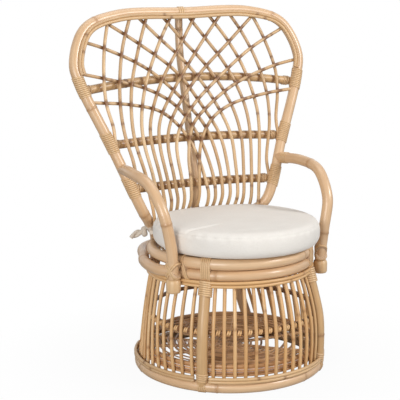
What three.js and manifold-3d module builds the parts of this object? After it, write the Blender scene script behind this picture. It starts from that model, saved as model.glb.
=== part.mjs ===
// A round rattan peacock chair: a tall hooped lattice back, two bent arms, a round seat
// with a loose cushion, and a bowed skirt of thin rods standing on a round foot ring.
// Millimetres, +Z up, the sitter faces -Y. The floor is z = 0 and the foot ring is centred on z.

import * as THREE from 'three';
import { mergeVertices } from 'three/addons/utils/BufferGeometryUtils.js';
import Module from 'manifold-3d';

const wasm = await Module();
wasm.setup();

// Cane sizes
const poleRadius = 17;
const uprightRadius = 16.5;
const barRadius = 14;
const postRadius = 13;
const rodRadius = 5.5;
const trimRadius = 5.2;
const midRingRadius = 7;
const strapThickness = 2.2;
const strapSlack = 0.5;

// Gap left between two pieces that touch, and between crossing layers of the lattice
const clearance = 0.3;
const layerGap = 0.9;
const barGap = 2;
const seatedGap = 0.8;
const seatedDepth = 1.4;
const apronGap = 3.6;
const bond = 2.4;

// Seat and foot
const seatRingRadius = 243;
const seatTop = 394.5;
const footRingRadius = 284;
const skirtBow = 20;
const uprightOut = 3;
const uprightAngle = 45;
const midRingHeight = 180;
const rodsPerSector = 13;
const rodSeat = 1.5;
const footTrimRoom = 4;

// Back hoop, centre line: half width at each height, from the foot to the middle of the top
const legAngle = 32;
const legFootAngle = 45;
const calfHeight = 200;
const calfAngle = 34;
const calfOut = 4;
const bulgeStart = 74;
const bulgeRun = 46;
const backStart = 20;
const waistHeight = 440;
const waistHalf = 190;
const lumbarHeight = 486;
const lumbarHalf = 228;
const elbowHeight = 681;
const elbowHalf = 309;
const shoulderHeight = 888;
const shoulderHalf = 395;
const widestHeight = 955;
const widestHalf = 407;
const cornerHeight = 1059;
const cornerHalf = 358;
const hoopTop = 1101;
const topStraightHalf = 245;
const topStraightDrop = 3;

// Back surface: it leans, bows backwards in plan and drops onto the seat ring at the bottom
const backLean = 15;
const lumbarDepth = 136;
const leanStart = 510;
const backBow = 25;
const bowHalf = 400;
const landingRise = 135;

// Lattice: ten front rods lean one way, ten rear rods cross them the other way. Each line is
// one rod from its top to its foot, as pairs: how far across it is, in thousandths of the back's
// widest half, and how far above the seat, in thousandths of the back's height over the seat.
// The rear rods are written as seen in a mirror.
const frontRods = [
  [[-668, 990], [-730, 867], [-769, 723], [-774, 602], [-744, 495], [-762, 418]],
  [[-472, 999], [-577, 853], [-639, 694], [-658, 560], [-646, 461], [-600, 322], [-644, 234]],
  [[-324, 999], [-435, 851], [-536, 683], [-572, 531], [-565, 432], [-511, 291], [-472, 149], [-432, -11]],
  [[-98, 999], [-251, 866], [-415, 680], [-486, 531], [-491, 432], [-445, 277], [-405, 121], [-378, -11]],
  [[123, 1001], [-42, 871], [-290, 674], [-410, 517], [-425, 439], [-381, 265], [-351, 149], [-324, -11]],
  [[356, 999], [152, 874], [-167, 656], [-327, 517], [-354, 418], [-322, 263], [-290, 149], [-270, -11]],
  [[658, 992], [376, 857], [57, 707], [-226, 517], [-280, 418], [-260, 260], [-231, 149], [-216, -11]],
  [[914, 921], [563, 822], [221, 687], [-34, 567], [-189, 444], [-209, 347], [-192, 255], [-170, 149],
    [-162, -11]],
  [[988, 766], [764, 741], [378, 663], [101, 564], [-39, 489], [-111, 347], [-113, 234], [-108, -11]],
  [[924, 633], [658, 616], [322, 573], [138, 512], [22, 418], [-29, 291], [-42, 149], [-54, -11]],
];
const rearRods = [
  [[-619, 997], [-713, 874], [-786, 723], [-781, 616], [-744, 495], [-762, 418]],
  [[-413, 1000], [-523, 898], [-629, 757], [-681, 623], [-676, 489], [-612, 306], [-644, 234]],
  [[-216, 1000], [-378, 870], [-496, 737], [-570, 574], [-575, 472], [-526, 270], [-489, 149], [-432, -11]],
  [[-29, 1000], [-182, 880], [-342, 747], [-459, 585], [-486, 468], [-455, 265], [-423, 135], [-378, -11]],
  [[201, 1000], [29, 878], [-167, 749], [-344, 574], [-400, 432], [-381, 255], [-359, 149], [-324, -11]],
  [[423, 1000], [224, 885], [17, 769], [-167, 621], [-302, 447], [-317, 294], [-305, 149], [-270, -11]],
  [[713, 977], [410, 864], [108, 727], [-86, 567], [-206, 439], [-243, 288], [-238, 149], [-216, -11]],
  [[943, 894], [742, 857], [361, 748], [61, 588], [-91, 472], [-167, 305], [-170, 163], [-162, -11]],
  [[985, 751], [764, 720], [386, 659], [155, 578], [-12, 439], [-98, 270], [-108, 149], [-108, -11]],
  [[909, 616], [548, 594], [290, 554], [123, 468], [20, 355], [-29, 234], [-47, 149], [-54, -11]],
];
const mergeHeight = 510;
const mergeRise = 90;
const rodSamples = 14;

// Crossbars behind the lattice, each middle and upper one measured from the bar below it
const lowerBarHeight = 550;
const lowerBarArch = 4;
const middleBarRise = 139;
const middleBarArch = 10;
const upperBarRise = 174;
const upperBarArch = 28;
const barPoints = 6;
const postAboveBar = 110;
const postFootSink = 8;
const postTopRise = 4;

// Arms
const armHeight = 620;
const armRise = 3;
const armWidestHalf = 304;
const armMiddle = 60;
const armFrontHalf = 299;
const armFront = -52;
const armFrontHeight = 602;
const armElbowHalf = 284;
const armElbow = -111;
const armElbowHeight = 532;
const armSeatRadius = 290;
const armSeatRise = 30;
const armAngle = 65;
const armFootRadius = 281;
const armFootHeight = 290;

// Decks, cushion and ties
const seatDeckThickness = 8;
const seatDeckDrop = 6.5;
const baseDeckHeight = 62;
const rosetteRadius = 56;
const rosetteCoils = 3;
const spokeCount = 8;
const spokeRadius = 3.6;
const bandRadius = 4.2;
const bandCount = 2;
const bandStart = 150;
const bandPitch = 55;
const bandHalfAngle = 55;
const bandSteps = 6;
const cushionRadius = 260;
const cushionForward = 24;
const cushionTop = 500;
const cushionCrown = 9;
const cushionFlat = 0.55;
const cushionEdge = 1.1;
const cushionSegments = 34;
const cushionRimAngles = [-72, -45, -20, 0, 20, 45, 72];
const cushionCrownShares = [0.7, 0.92, 1];
const cushionBackGap = 9;
const tieHeight = 424;
const tieWidth = 24;
const tieRimAngle = 122;
const tieStrapRadius = 7;
const tieTailRadius = 4.5;
const tieTailReach = 30;
const tieTailSpread = 6;
const tieTailDrop = 22;
const knotRadius = 13;
const knotSides = 6;
const knotRows = 4;

// Straps of rattan peel
const hoopStrapLength = 46;
const barStrapLength = 28;
const barStrapStart = 0.01;
const lashRise = 5;
const uprightStrapWidth = 30;
const uprightWrapLength = 34;
const footWrapLength = 34;
const crossStrapWidth = 9;
const crossStrapTilt = 34;
const strapCorner = 9;
const footBandWidth = 24;
const floorRoom = 100;

// Facets
const poleSides = 8;
const rodSides = 5;
const thinSides = 4;
const hoopSteps = 54;
const hoopLengthSteps = 800;
const ringSegments = 28;
const barSteps = 12;
const latticeSteps = 10;
const armSteps = 14;
const uprightSteps = 6;
const skirtSteps = 4;
const bowLevels = [0, 0.25, 0.5, 0.75, 1];
const apronSteps = 28;

const degrees = Math.PI / 180;
const poleColour = 0xc99a62;
const coreColour = 0xd2a874;
const peelColour = 0xc8a066;
const fabricColour = 0xf1ece4;

const poleReach = poleRadius / Math.cos(Math.PI / poleSides);
const middleBarHeight = lowerBarHeight + middleBarRise;
const upperBarHeight = middleBarHeight + upperBarRise;
const upperRingZ = seatTop - poleRadius;
const lowerRingZ = upperRingZ - 2 * poleRadius - clearance;
const footRingZ = poleRadius;
const skirtTopZ = lowerRingZ - poleRadius;
const skirtFootZ = footRingZ + poleRadius;
const leanFactor = 1 / Math.cos(backLean * degrees);
const rearLayer = (rodRadius + layerGap / 2) * leanFactor;
const barLayer = rearLayer + (rodRadius + barGap + barRadius) * leanFactor;
const postLayer = barLayer + (barRadius + layerGap + postRadius) * leanFactor;
const legRadius = seatRingRadius + 2 * poleRadius + clearance;
const legBulge = 4 * poleRadius + 2 * clearance;

const group = new THREE.Group();

// Small helpers

function smooth(t) {
  const s = THREE.MathUtils.clamp(t, 0, 1);
  return s * s * (3 - 2 * s);
}

function polar(radius, angle, z) {
  return new THREE.Vector3(radius * Math.sin(angle), -radius * Math.cos(angle), z);
}

function section(radius, sides, flatDown = false) {
  const turn = flatDown ? Math.PI / sides : 0;
  const reach = flatDown ? radius / Math.cos(Math.PI / sides) : radius;
  return Array.from({ length: sides }, (_, i) => {
    const a = turn + (i * 2 * Math.PI) / sides - Math.PI / 2;
    return new THREE.Vector2(reach * Math.cos(a), reach * Math.sin(a));
  });
}

// Solids: closed three.js geometry becomes a manifold for joining and cutting

function toSolid(geometry) {
  geometry.deleteAttribute('normal');
  geometry.deleteAttribute('uv');
  const merged = mergeVertices(geometry, 1e-3);
  const position = merged.attributes.position;
  const triangles = [];
  let volume = 0;
  const [a, b, c] = [new THREE.Vector3(), new THREE.Vector3(), new THREE.Vector3()];
  for (let i = 0; i < merged.index.count; i += 3) {
    const ids = [0, 1, 2].map((k) => merged.index.getX(i + k));
    if (new Set(ids).size < 3) continue;
    a.fromBufferAttribute(position, ids[0]);
    b.fromBufferAttribute(position, ids[1]);
    c.fromBufferAttribute(position, ids[2]);
    volume += a.dot(b.cross(c));
    triangles.push(ids);
  }
  const order = volume < 0 ? [0, 2, 1] : [0, 1, 2];
  const triVerts = new Uint32Array(triangles.flatMap((ids) => order.map((k) => ids[k])));
  const vertProperties = new Float32Array(position.array);
  return new wasm.Manifold(new wasm.Mesh({ numProp: 3, vertProperties, triVerts }));
}

function largest(solid) {
  const parts = solid.decompose();
  return parts.reduce((best, part) => (part.volume() > best.volume() ? part : best));
}

function join(solids) {
  return solids.reduce((sum, solid) => sum.add(solid));
}

function cut(solid, tools) {
  return largest(tools.reduce((rest, tool) => rest.subtract(tool), solid));
}

function addPart(name, solid, colour, roughness = 0.6) {
  const mesh = solid.getMesh();
  const geometry = new THREE.BufferGeometry();
  const stride = mesh.numProp;
  const points = new Float32Array((mesh.vertProperties.length / stride) * 3);
  for (let i = 0; i < points.length / 3; i += 1) {
    for (let k = 0; k < 3; k += 1) points[i * 3 + k] = mesh.vertProperties[i * stride + k];
  }
  geometry.setAttribute('position', new THREE.BufferAttribute(points, 3));
  geometry.setIndex(new THREE.BufferAttribute(new Uint32Array(mesh.triVerts), 1));
  geometry.computeVertexNormals();
  const material = new THREE.MeshStandardMaterial({ color: colour, roughness, metalness: 0 });
  const piece = new THREE.Mesh(geometry, material);
  piece.name = name;
  group.add(piece);
}

// A cane along a curve, hollow where it has a bore, and a closed ring of cane

function sweep(curve, outline, steps, hole = null) {
  const shape = new THREE.Shape(outline);
  if (hole) shape.holes.push(new THREE.Path(hole));
  return toSolid(new THREE.ExtrudeGeometry(shape, { steps, extrudePath: curve, bevelEnabled: false }));
}

function cane(curve, radius, sides, steps, bore = 0) {
  return sweep(curve, section(radius, sides), steps, bore > 0 ? section(bore, sides) : null);
}

function ring(radius, z, outline, segments, push = () => 0) {
  const profile = [...outline, outline[0]].map((p) => new THREE.Vector2(radius + p.x, z + p.y));
  const geometry = new THREE.LatheGeometry(profile, segments);
  geometry.rotateX(Math.PI / 2);
  const position = geometry.attributes.position;
  for (let i = 0; i < position.count; i += 1) {
    const x = position.getX(i);
    const y = position.getY(i);
    const reach = Math.hypot(x, y);
    const scale = (reach + push(Math.atan2(x, -y))) / reach;
    position.setXY(i, x * scale, y * scale);
  }
  return toSolid(geometry);
}

// A curve given by a formula, stepped evenly in its own parameter

class RoundCurve extends THREE.Curve {
  constructor(place) {
    super();
    this.place = place;
  }

  getUtoTmapping(u) {
    return u;
  }

  getPoint(t) {
    return this.place(t);
  }
}

function arc(radius, z, from, to) {
  return new RoundCurve((t) => polar(radius, THREE.MathUtils.lerp(from, to, t), z));
}

function stretch(curve, from, to) {
  return new RoundCurve((t) => curve.getPointAt(THREE.MathUtils.lerp(from, to, t)));
}

function sleeve(curve, from, to, radius) {
  const bore = (radius + clearance) / Math.cos(Math.PI / poleSides) + strapSlack;
  return cane(stretch(curve, from, to), bore + strapThickness, poleSides, 1, bore);
}

function spline(points) {
  return new THREE.CatmullRomCurve3(points, false, 'centripetal');
}

function mirrored(points) {
  return points.map((p) => new THREE.Vector3(-p.x, p.y, p.z));
}

// The bent outlines that several pieces share

function backPlane(x, z) {
  const bow = backBow * (1 - (x / bowHalf) ** 2);
  return lumbarDepth + Math.tan(backLean * degrees) * (z - leanStart) + bow;
}

function backSurface(x, z) {
  const landing = Math.sqrt(Math.max(seatRingRadius ** 2 - x * x, 0));
  return THREE.MathUtils.lerp(landing, backPlane(x, z), smooth((z - seatTop) / landingRise));
}

function ringPush(angle) {
  const offBack = Math.PI - Math.abs(angle);
  return legBulge * smooth((bulgeStart * degrees - offBack) / (bulgeRun * degrees));
}

function skirtRadius(z) {
  const s = (skirtTopZ - z) / (skirtTopZ - skirtFootZ);
  const straight = THREE.MathUtils.lerp(seatRingRadius - clearance, footRingRadius, s);
  return straight + skirtBow * Math.sin(Math.PI * THREE.MathUtils.clamp(s, 0, 1));
}

function hoopLeg(radius, offBack, z) {
  return polar(radius, Math.PI + offBack * degrees, z);
}

function hoopPoint(half, z) {
  const seatY = legRadius * Math.cos(legAngle * degrees);
  const start = seatTop - backStart;
  const y = THREE.MathUtils.lerp(seatY, backPlane(half, z), smooth((z - start) / landingRise));
  return new THREE.Vector3(-half, y, z);
}

const hoopSide = [
  hoopLeg(footRingRadius + uprightOut, legFootAngle, footRingZ),
  hoopLeg(skirtRadius(calfHeight) + calfOut, calfAngle, calfHeight),
  hoopLeg(legRadius, legAngle, lowerRingZ - poleRadius),
  hoopLeg(legRadius, legAngle, seatTop - poleRadius / 2),
  hoopPoint(waistHalf, waistHeight),
  hoopPoint(lumbarHalf, lumbarHeight),
  hoopPoint(elbowHalf, elbowHeight),
  hoopPoint(shoulderHalf, shoulderHeight),
  hoopPoint(widestHalf, widestHeight),
  hoopPoint(cornerHalf, cornerHeight),
  hoopPoint(topStraightHalf, hoopTop - topStraightDrop),
];
const hoopCrown = hoopPoint(0, hoopTop);
const hoopCurve = spline([...hoopSide, hoopCrown, ...mirrored(hoopSide).reverse()]);
hoopCurve.arcLengthDivisions = hoopLengthSteps;

function hoopAt(z) {
  let low = 0;
  let high = 0.45;
  for (let i = 0; i < 40; i += 1) {
    const middle = (low + high) / 2;
    if (hoopCurve.getPointAt(middle).z < z) low = middle;
    else high = middle;
  }
  return low;
}

const hoopBody = cane(hoopCurve, poleRadius, poleSides, hoopSteps);
const hoopRoom = cane(hoopCurve, poleRadius + clearance, poleSides, hoopSteps);

// Rings of the seat and the foot

const ringSection = section(poleRadius, poleSides, true);
const ringRoomSection = section(poleRadius + clearance, poleSides, true);
const upperRingBody = ring(seatRingRadius, upperRingZ, ringSection, ringSegments);
const upperRingRoom = ring(seatRingRadius, upperRingZ, ringRoomSection, ringSegments);
const lowerRingBody = ring(seatRingRadius, lowerRingZ, ringSection, ringSegments, ringPush);
const lowerRingRoom = ring(seatRingRadius, lowerRingZ, ringRoomSection, ringSegments, ringPush);
const footRingBody = ring(footRingRadius, footRingZ, ringSection, ringSegments);
const footRingRoom = ring(footRingRadius, footRingZ, ringRoomSection, ringSegments);

addPart('back_hoop', cut(hoopBody, [upperRingRoom, lowerRingRoom, footRingRoom]), poleColour, 0.5);
addPart('seat_ring_upper', upperRingBody, poleColour, 0.5);
addPart('seat_ring_lower', lowerRingBody, poleColour, 0.5);
addPart('foot_ring', footRingBody, poleColour, 0.5);

// Two trim rods that cover the lattice ends on the hoop's inner front side

const trimFront = rearLayer + (rodRadius + trimRadius + seatedGap) * leanFactor;
const trimReach = poleRadius + trimRadius - seatedDepth;
const trimInward = Math.sqrt(trimReach ** 2 - (trimFront / leanFactor) ** 2);
const trimStart = hoopAt(upperBarHeight + lashRise + hoopStrapLength / 2 + 3 * seatedGap);

// The trims turn at the same places as the hoop, so that they run parallel to its facets

const trimFirst = Math.ceil(trimStart * hoopSteps) - 1;
const trimSteps = hoopSteps - 2 * trimFirst;

function trimPlace(t) {
  const step = t * trimSteps;
  const nearEnd = Math.min(step, trimSteps - step);
  const u = nearEnd < 1
    ? THREE.MathUtils.lerp(trimStart, (trimFirst + 1) / hoopSteps, nearEnd)
    : (trimFirst + nearEnd) / hoopSteps;
  return step * 2 < trimSteps ? u : 1 - u;
}

function trimCurve(inward) {
  return new RoundCurve((t) => {
    const u = trimPlace(t);
    const front = new THREE.Vector3(0, -Math.cos(backLean * degrees), Math.sin(backLean * degrees));
    const inner = new THREE.Vector3().crossVectors(hoopCurve.getTangentAt(u), front).normalize();
    const point = hoopCurve.getPointAt(u).addScaledVector(inner, inward);
    return point.addScaledVector(front, trimFront / leanFactor);
  });
}

const trimCurves = [trimCurve(trimInward), trimCurve(trimInward + 2 * trimRadius - seatedDepth)];
const trimBodies = trimCurves.map((curve) => cut(cane(curve, trimRadius, rodSides, trimSteps), [hoopRoom]));
const trimRooms = trimCurves.map((curve) => cane(curve, trimRadius + clearance, rodSides, trimSteps));
addPart('hoop_trim_outer', trimBodies[0], coreColour);
addPart('hoop_trim_inner', cut(trimBodies[1], [trimRooms[0]]), coreColour);

// Crossbars and centre post behind the lattice

function barCurve(height, arch) {
  const half = Math.abs(hoopCurve.getPointAt(hoopAt(height)).x);
  return spline(Array.from({ length: barPoints + 1 }, (_, i) => {
    const share = (2 * i) / barPoints - 1;
    const x = share * half;
    const z = height + arch * (1 - share * share);
    return new THREE.Vector3(x, backSurface(x, z) + barLayer, z);
  }));
}

const bars = [
  { name: 'crossbar_lower', curve: barCurve(lowerBarHeight, lowerBarArch) },
  { name: 'crossbar_middle', curve: barCurve(middleBarHeight, middleBarArch) },
  { name: 'crossbar_upper', curve: barCurve(upperBarHeight, upperBarArch) },
];
for (const bar of bars) {
  bar.body = cut(cane(bar.curve, barRadius, poleSides, barSteps), [hoopRoom]);
  bar.room = cane(bar.curve, barRadius + clearance, poleSides, barSteps);
  addPart(bar.name, bar.body, poleColour, 0.5);
}
const barRooms = bars.map((bar) => bar.room);

const postLevels = [lowerBarHeight, middleBarHeight, upperBarHeight, upperBarHeight + postAboveBar];
const postPoints = [
  new THREE.Vector3(0, seatRingRadius, seatTop - postFootSink),
  ...postLevels.map((z) => new THREE.Vector3(0, backSurface(0, z) + postLayer, z)),
  new THREE.Vector3(0, hoopCrown.y + poleRadius + postRadius + clearance, hoopTop + postTopRise),
];
const postCurve = spline(postPoints);
const postTools = [hoopRoom, upperRingRoom, ...barRooms];
const postBody = cut(cane(postCurve, postRadius, poleSides, barSteps), postTools);
addPart('back_centre_post', postBody, poleColour, 0.5);

// Lattice rods: all start on the hoop, most land on the seat ring, two return to the hoop

function layerDepth(z, front) {
  if (!front) return rearLayer;
  return THREE.MathUtils.lerp(rearLayer, -rearLayer, smooth((z - mergeHeight) / mergeRise));
}

function rodCurve(pairs, front) {
  const across = widestHalf / 1000;
  const up = (hoopTop - seatTop) / 1000;
  const flat = spline(pairs.map(([x, z]) => new THREE.Vector3(x * across, 0, seatTop + z * up)));
  const points = Array.from({ length: rodSamples + 1 }, (_, i) => {
    const p = flat.getPointAt(i / rodSamples);
    return p.setY(backSurface(p.x, p.z) + layerDepth(p.z, front));
  });
  return spline(front ? points : mirrored(points));
}

const rodRooms = [];
for (const [layer, rods] of [['front', frontRods], ['rear', rearRods]]) {
  rods.forEach((pairs, number) => {
    const curve = rodCurve(pairs, layer === 'front');
    const body = cut(cane(curve, rodRadius, rodSides, latticeSteps), [hoopRoom, upperRingRoom]);
    addPart(`back_rod_${layer}_${String(number + 1).padStart(2, '0')}`, body, coreColour);
    rodRooms.push(cane(curve, rodRadius + clearance, rodSides, latticeSteps));
  });
}

// Arms: from the hoop forwards, down past the seat rings and cut square below them

const armRoot = hoopCurve.getPointAt(hoopAt(armHeight));
const armPoints = [
  new THREE.Vector3(-armRoot.x, armRoot.y, armHeight),
  new THREE.Vector3(armWidestHalf, armMiddle, armHeight + armRise),
  new THREE.Vector3(armFrontHalf, armFront, armFrontHeight),
  new THREE.Vector3(armElbowHalf, armElbow, armElbowHeight),
  polar(armSeatRadius, armAngle * degrees, seatTop + armSeatRise),
  polar(armFootRadius, armAngle * degrees, lowerRingZ),
  polar(armFootRadius, armAngle * degrees, armFootHeight),
];
const arms = [
  { side: 'left', curve: spline(mirrored(armPoints)) },
  { side: 'right', curve: spline(armPoints) },
];
for (const arm of arms) {
  arm.room = cane(arm.curve, poleRadius + clearance, poleSides, armSteps);
  const body = cut(cane(arm.curve, poleRadius, poleSides, armSteps), [hoopRoom]);
  addPart(`arm_${arm.side}`, body, poleColour, 0.5);
}
const armRooms = arms.map((arm) => arm.room);

// Front uprights, standing on the foot ring and butted under the lower seat ring

function uprightCurve(angle) {
  return spline(bowLevels.map((share) => {
    const z = THREE.MathUtils.lerp(footRingZ, lowerRingZ, share);
    const held = THREE.MathUtils.clamp(z, skirtFootZ, skirtTopZ);
    return polar(skirtRadius(held) + uprightOut, angle, z);
  }));
}

const uprights = [
  { side: 'left', sign: -1 },
  { side: 'right', sign: 1 },
];
for (const upright of uprights) {
  upright.angle = upright.sign * uprightAngle * degrees;
  upright.curve = uprightCurve(upright.angle);
  upright.room = cane(upright.curve, uprightRadius + clearance, poleSides, uprightSteps);
  const pole = cane(upright.curve, uprightRadius, poleSides, uprightSteps);
  const body = cut(pole, [lowerRingRoom, footRingRoom]);
  addPart(`front_upright_${upright.side}`, body, poleColour, 0.5);
}
const uprightRooms = uprights.map((upright) => upright.room);

// Skirt: three sectors of bowed rods. Those in front hang on the front length of the lower
// apron rod, those at the sides on the length that runs round the back.

function legAngleAt(z) {
  const point = hoopCurve.getPointAt(hoopAt(z));
  return Math.PI - Math.atan2(-point.x, point.y);
}

function skirtRod(sector, index) {
  const share = index / (rodsPerSector + 1);
  const points = bowLevels.map((level) => {
    const z = THREE.MathUtils.lerp(skirtFootZ + rodSeat, skirtTopZ - rodSeat, level);
    const front = uprightAngle * degrees;
    const side = THREE.MathUtils.lerp(front, legAngleAt(z), share);
    const angle = sector === 0 ? THREE.MathUtils.lerp(-front, front, share) : sector * side;
    return polar(skirtRadius(z), angle, z);
  });
  return cane(spline(points), rodRadius, rodSides, skirtSteps);
}

function skirtRods(sector) {
  return Array.from({ length: rodsPerSector }, (_, i) => skirtRod(sector, i + 1));
}

const apronUpperZ = skirtTopZ - trimRadius - seatedGap;
const apronLowerZ = apronUpperZ - 2 * trimRadius - clearance;
const apronReach = rodRadius + trimRadius + apronGap;
const apronBondedReach = rodRadius + trimRadius - bond;
const frontEdge = uprightAngle * degrees;
const rearEdge = 2 * Math.PI - frontEdge;
const underSeat = [lowerRingRoom, ...uprightRooms, hoopRoom];

function apron(z, offset, from, to, steps, grow = 0) {
  return cane(arc(skirtRadius(z) + offset, z, from, to), trimRadius + grow, rodSides, steps);
}

const apronSpans = [
  { name: 'front', from: -frontEdge, to: frontEdge, steps: Math.round(apronSteps / 4) },
  { name: 'rear', from: frontEdge, to: rearEdge, steps: apronSteps - Math.round(apronSteps / 4) },
];
const apronRooms = [];
for (const { name, from, to, steps } of apronSpans) {
  addPart(`apron_rod_${name}`, cut(apron(apronUpperZ, apronReach, from, to, steps), underSeat), coreColour);
  const lower = apron(apronLowerZ, apronBondedReach, from, to, steps);
  const sectors = name === 'front' ? [0] : [-1, 1];
  const rods = sectors.flatMap((sector) => skirtRods(sector));
  const skirtName = name === 'front' ? 'skirt_front' : 'skirt_sides';
  addPart(skirtName, cut(join([lower, ...rods]), underSeat), coreColour);
  apronRooms.push(apron(apronUpperZ, apronReach, from, to, steps, clearance));
  apronRooms.push(apron(apronLowerZ, apronBondedReach, from, to, steps, clearance));
}

const midReach = skirtRadius(midRingHeight) - rodRadius - midRingRadius - seatedGap;
const midRingBody = ring(midReach, midRingHeight, section(midRingRadius, rodSides), ringSegments);
addPart('mid_ring', cut(midRingBody, [...uprightRooms, hoopRoom]), coreColour);

// Foot trims: a pair of thin rods laid on the foot ring outside the skirt, between the poles

const footTrimRadius = footRingRadius + rodRadius + trimRadius + 4 * seatedGap;
const footTrimRise = (poleReach + trimRadius) ** 2 - (footTrimRadius - footRingRadius) ** 2;
const footTrimZ = footRingZ + Math.sqrt(footTrimRise) + clearance;
const footTrimCut = (uprightRadius + strapThickness + footTrimRoom) / footTrimRadius;
const footTrimRooms = [];

// The outline of two rods, one on the other: their centres and flats, from the bottom up.
// A swept outline's first axis points down along a level path, and its second points sideways.

function stackedSection(grow) {
  const rise = trimRadius * Math.cos(Math.PI / 6);
  const right = [0.5, 1, 0.5, 1, 0.5].map((share, i) => {
    const end = i === 0 ? -grow : (i === 4) * grow;
    return new THREE.Vector2(-((i - 1) * rise + end), share * trimRadius + grow);
  });
  const left = right.map((p) => new THREE.Vector2(p.x, -p.y)).reverse();
  return [...right, ...left];
}

function footTrims(middle, grow) {
  const from = (middle - uprightAngle) * degrees + footTrimCut;
  const to = (middle + uprightAngle) * degrees - footTrimCut;
  return sweep(arc(footTrimRadius, footTrimZ, from, to), stackedSection(grow), ringSegments / 4);
}

['front', 'right', 'back', 'left'].forEach((side, i) => {
  const body = cut(footTrims(90 * i, 0), [footRingRoom, ...uprightRooms, hoopRoom]);
  addPart(`foot_trim_${side}`, body, coreColour);
  footTrimRooms.push(footTrims(90 * i, clearance));
});

// Seat deck, a round panel let into the upper ring under the cushion

const deckRadius = seatRingRadius - poleRadius - clearance;
const deckTop = seatTop - seatDeckDrop;
const deckProfile = [
  new THREE.Vector2(0, deckTop - seatDeckThickness),
  new THREE.Vector2(deckRadius, deckTop - seatDeckThickness),
  new THREE.Vector2(deckRadius, deckTop),
  new THREE.Vector2(0, deckTop),
];
const deckShape = new THREE.LatheGeometry(deckProfile, ringSegments).rotateX(Math.PI / 2);
addPart('seat_deck', toSolid(deckShape), coreColour, 0.7);

// Base deck: an open woven mat of spokes, coiled rosette and bands in front and behind

const baseRimRadius = skirtRadius(baseDeckHeight) - rodRadius - midRingRadius - seatedGap;

function rosette() {
  const pitch = rosetteRadius / rosetteCoils;
  const under = -spokeRadius;
  const profile = [new THREE.Vector2(0, under), new THREE.Vector2(rosetteRadius, under)];
  for (let coil = rosetteCoils; coil > 0; coil -= 1) {
    profile.push(new THREE.Vector2(coil * pitch, 0));
    profile.push(new THREE.Vector2((coil - 0.5) * pitch, 2 * spokeRadius));
  }
  profile.push(new THREE.Vector2(0, 0));
  const coils = new THREE.LatheGeometry(profile, spokeCount).rotateX(Math.PI / 2);
  return toSolid(coils.translate(0, 0, baseDeckHeight));
}

function baseRim(grow) {
  return ring(baseRimRadius, baseDeckHeight, section(midRingRadius + grow, thinSides), ringSegments);
}

const basePieces = [baseRim(0), rosette()];
for (let i = 0; i < spokeCount; i += 1) {
  const angle = ((i + 0.5) * 2 * Math.PI) / spokeCount;
  const inner = polar(rosetteRadius / 2, angle, baseDeckHeight);
  const line = new THREE.LineCurve3(inner, polar(baseRimRadius, angle, baseDeckHeight));
  basePieces.push(cane(line, spokeRadius, thinSides, 1));
}
for (let i = 0; i < bandCount; i += 1) {
  for (const middle of [0, Math.PI]) {
    const half = bandHalfAngle * degrees;
    const path = arc(bandStart + bandPitch * i, baseDeckHeight + spokeRadius, middle - half, middle + half);
    basePieces.push(cane(path, bandRadius, thinSides, bandSteps));
  }
}
addPart('base_deck', cut(join(basePieces), [...uprightRooms, hoopRoom]), coreColour, 0.7);
const baseRimRoom = baseRim(clearance);

// Cushion: round, crowned, with drawn-in edges and a back that leans against the lattice

function cushionProfile() {
  const bottom = seatTop + clearance;
  const middle = (bottom + cushionTop - cushionCrown) / 2;
  const half = (cushionTop - cushionCrown - bottom) / 2;
  const flatRadius = cushionRadius * cushionFlat;
  const points = [new THREE.Vector2(0, bottom), new THREE.Vector2(flatRadius, bottom)];
  for (const angle of cushionRimAngles) {
    const drawn = half * cushionEdge * (1 - Math.cos(angle * degrees));
    points.push(new THREE.Vector2(cushionRadius - drawn, middle + half * Math.sin(angle * degrees)));
  }
  for (const share of cushionCrownShares) {
    const reach = flatRadius * Math.sqrt(1 - share);
    points.push(new THREE.Vector2(reach, cushionTop - cushionCrown * (1 - share)));
  }
  return points;
}

function cushionSolid(grow) {
  const geometry = new THREE.LatheGeometry(cushionProfile(), cushionSegments).rotateX(Math.PI / 2);
  const position = geometry.attributes.position;
  for (let i = 0; i < position.count; i += 1) {
    const x = position.getX(i) * (1 + grow / cushionRadius);
    const y = position.getY(i) * (1 + grow / cushionRadius) - cushionForward;
    const z = position.getZ(i);
    const limit = backSurface(x, z) - cushionBackGap + grow;
    position.setXY(i, x, Math.min(y, limit));
  }
  return toSolid(geometry);
}

addPart('cushion', cushionSolid(0), fabricColour, 0.9);
const cushionRoom = cushionSolid(clearance * 2);

// Ties: a fabric strap from the cushion round each rear leg, with a knot and two tails

function onSide(sign, u) {
  return sign < 0 ? u : 1 - u;
}

function hoopSleeve(sign, height, length) {
  const from = onSide(sign, hoopAt(height - length / 2));
  const to = onSide(sign, hoopAt(height + length / 2));
  return sleeve(hoopCurve, from, to, poleRadius);
}

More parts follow.
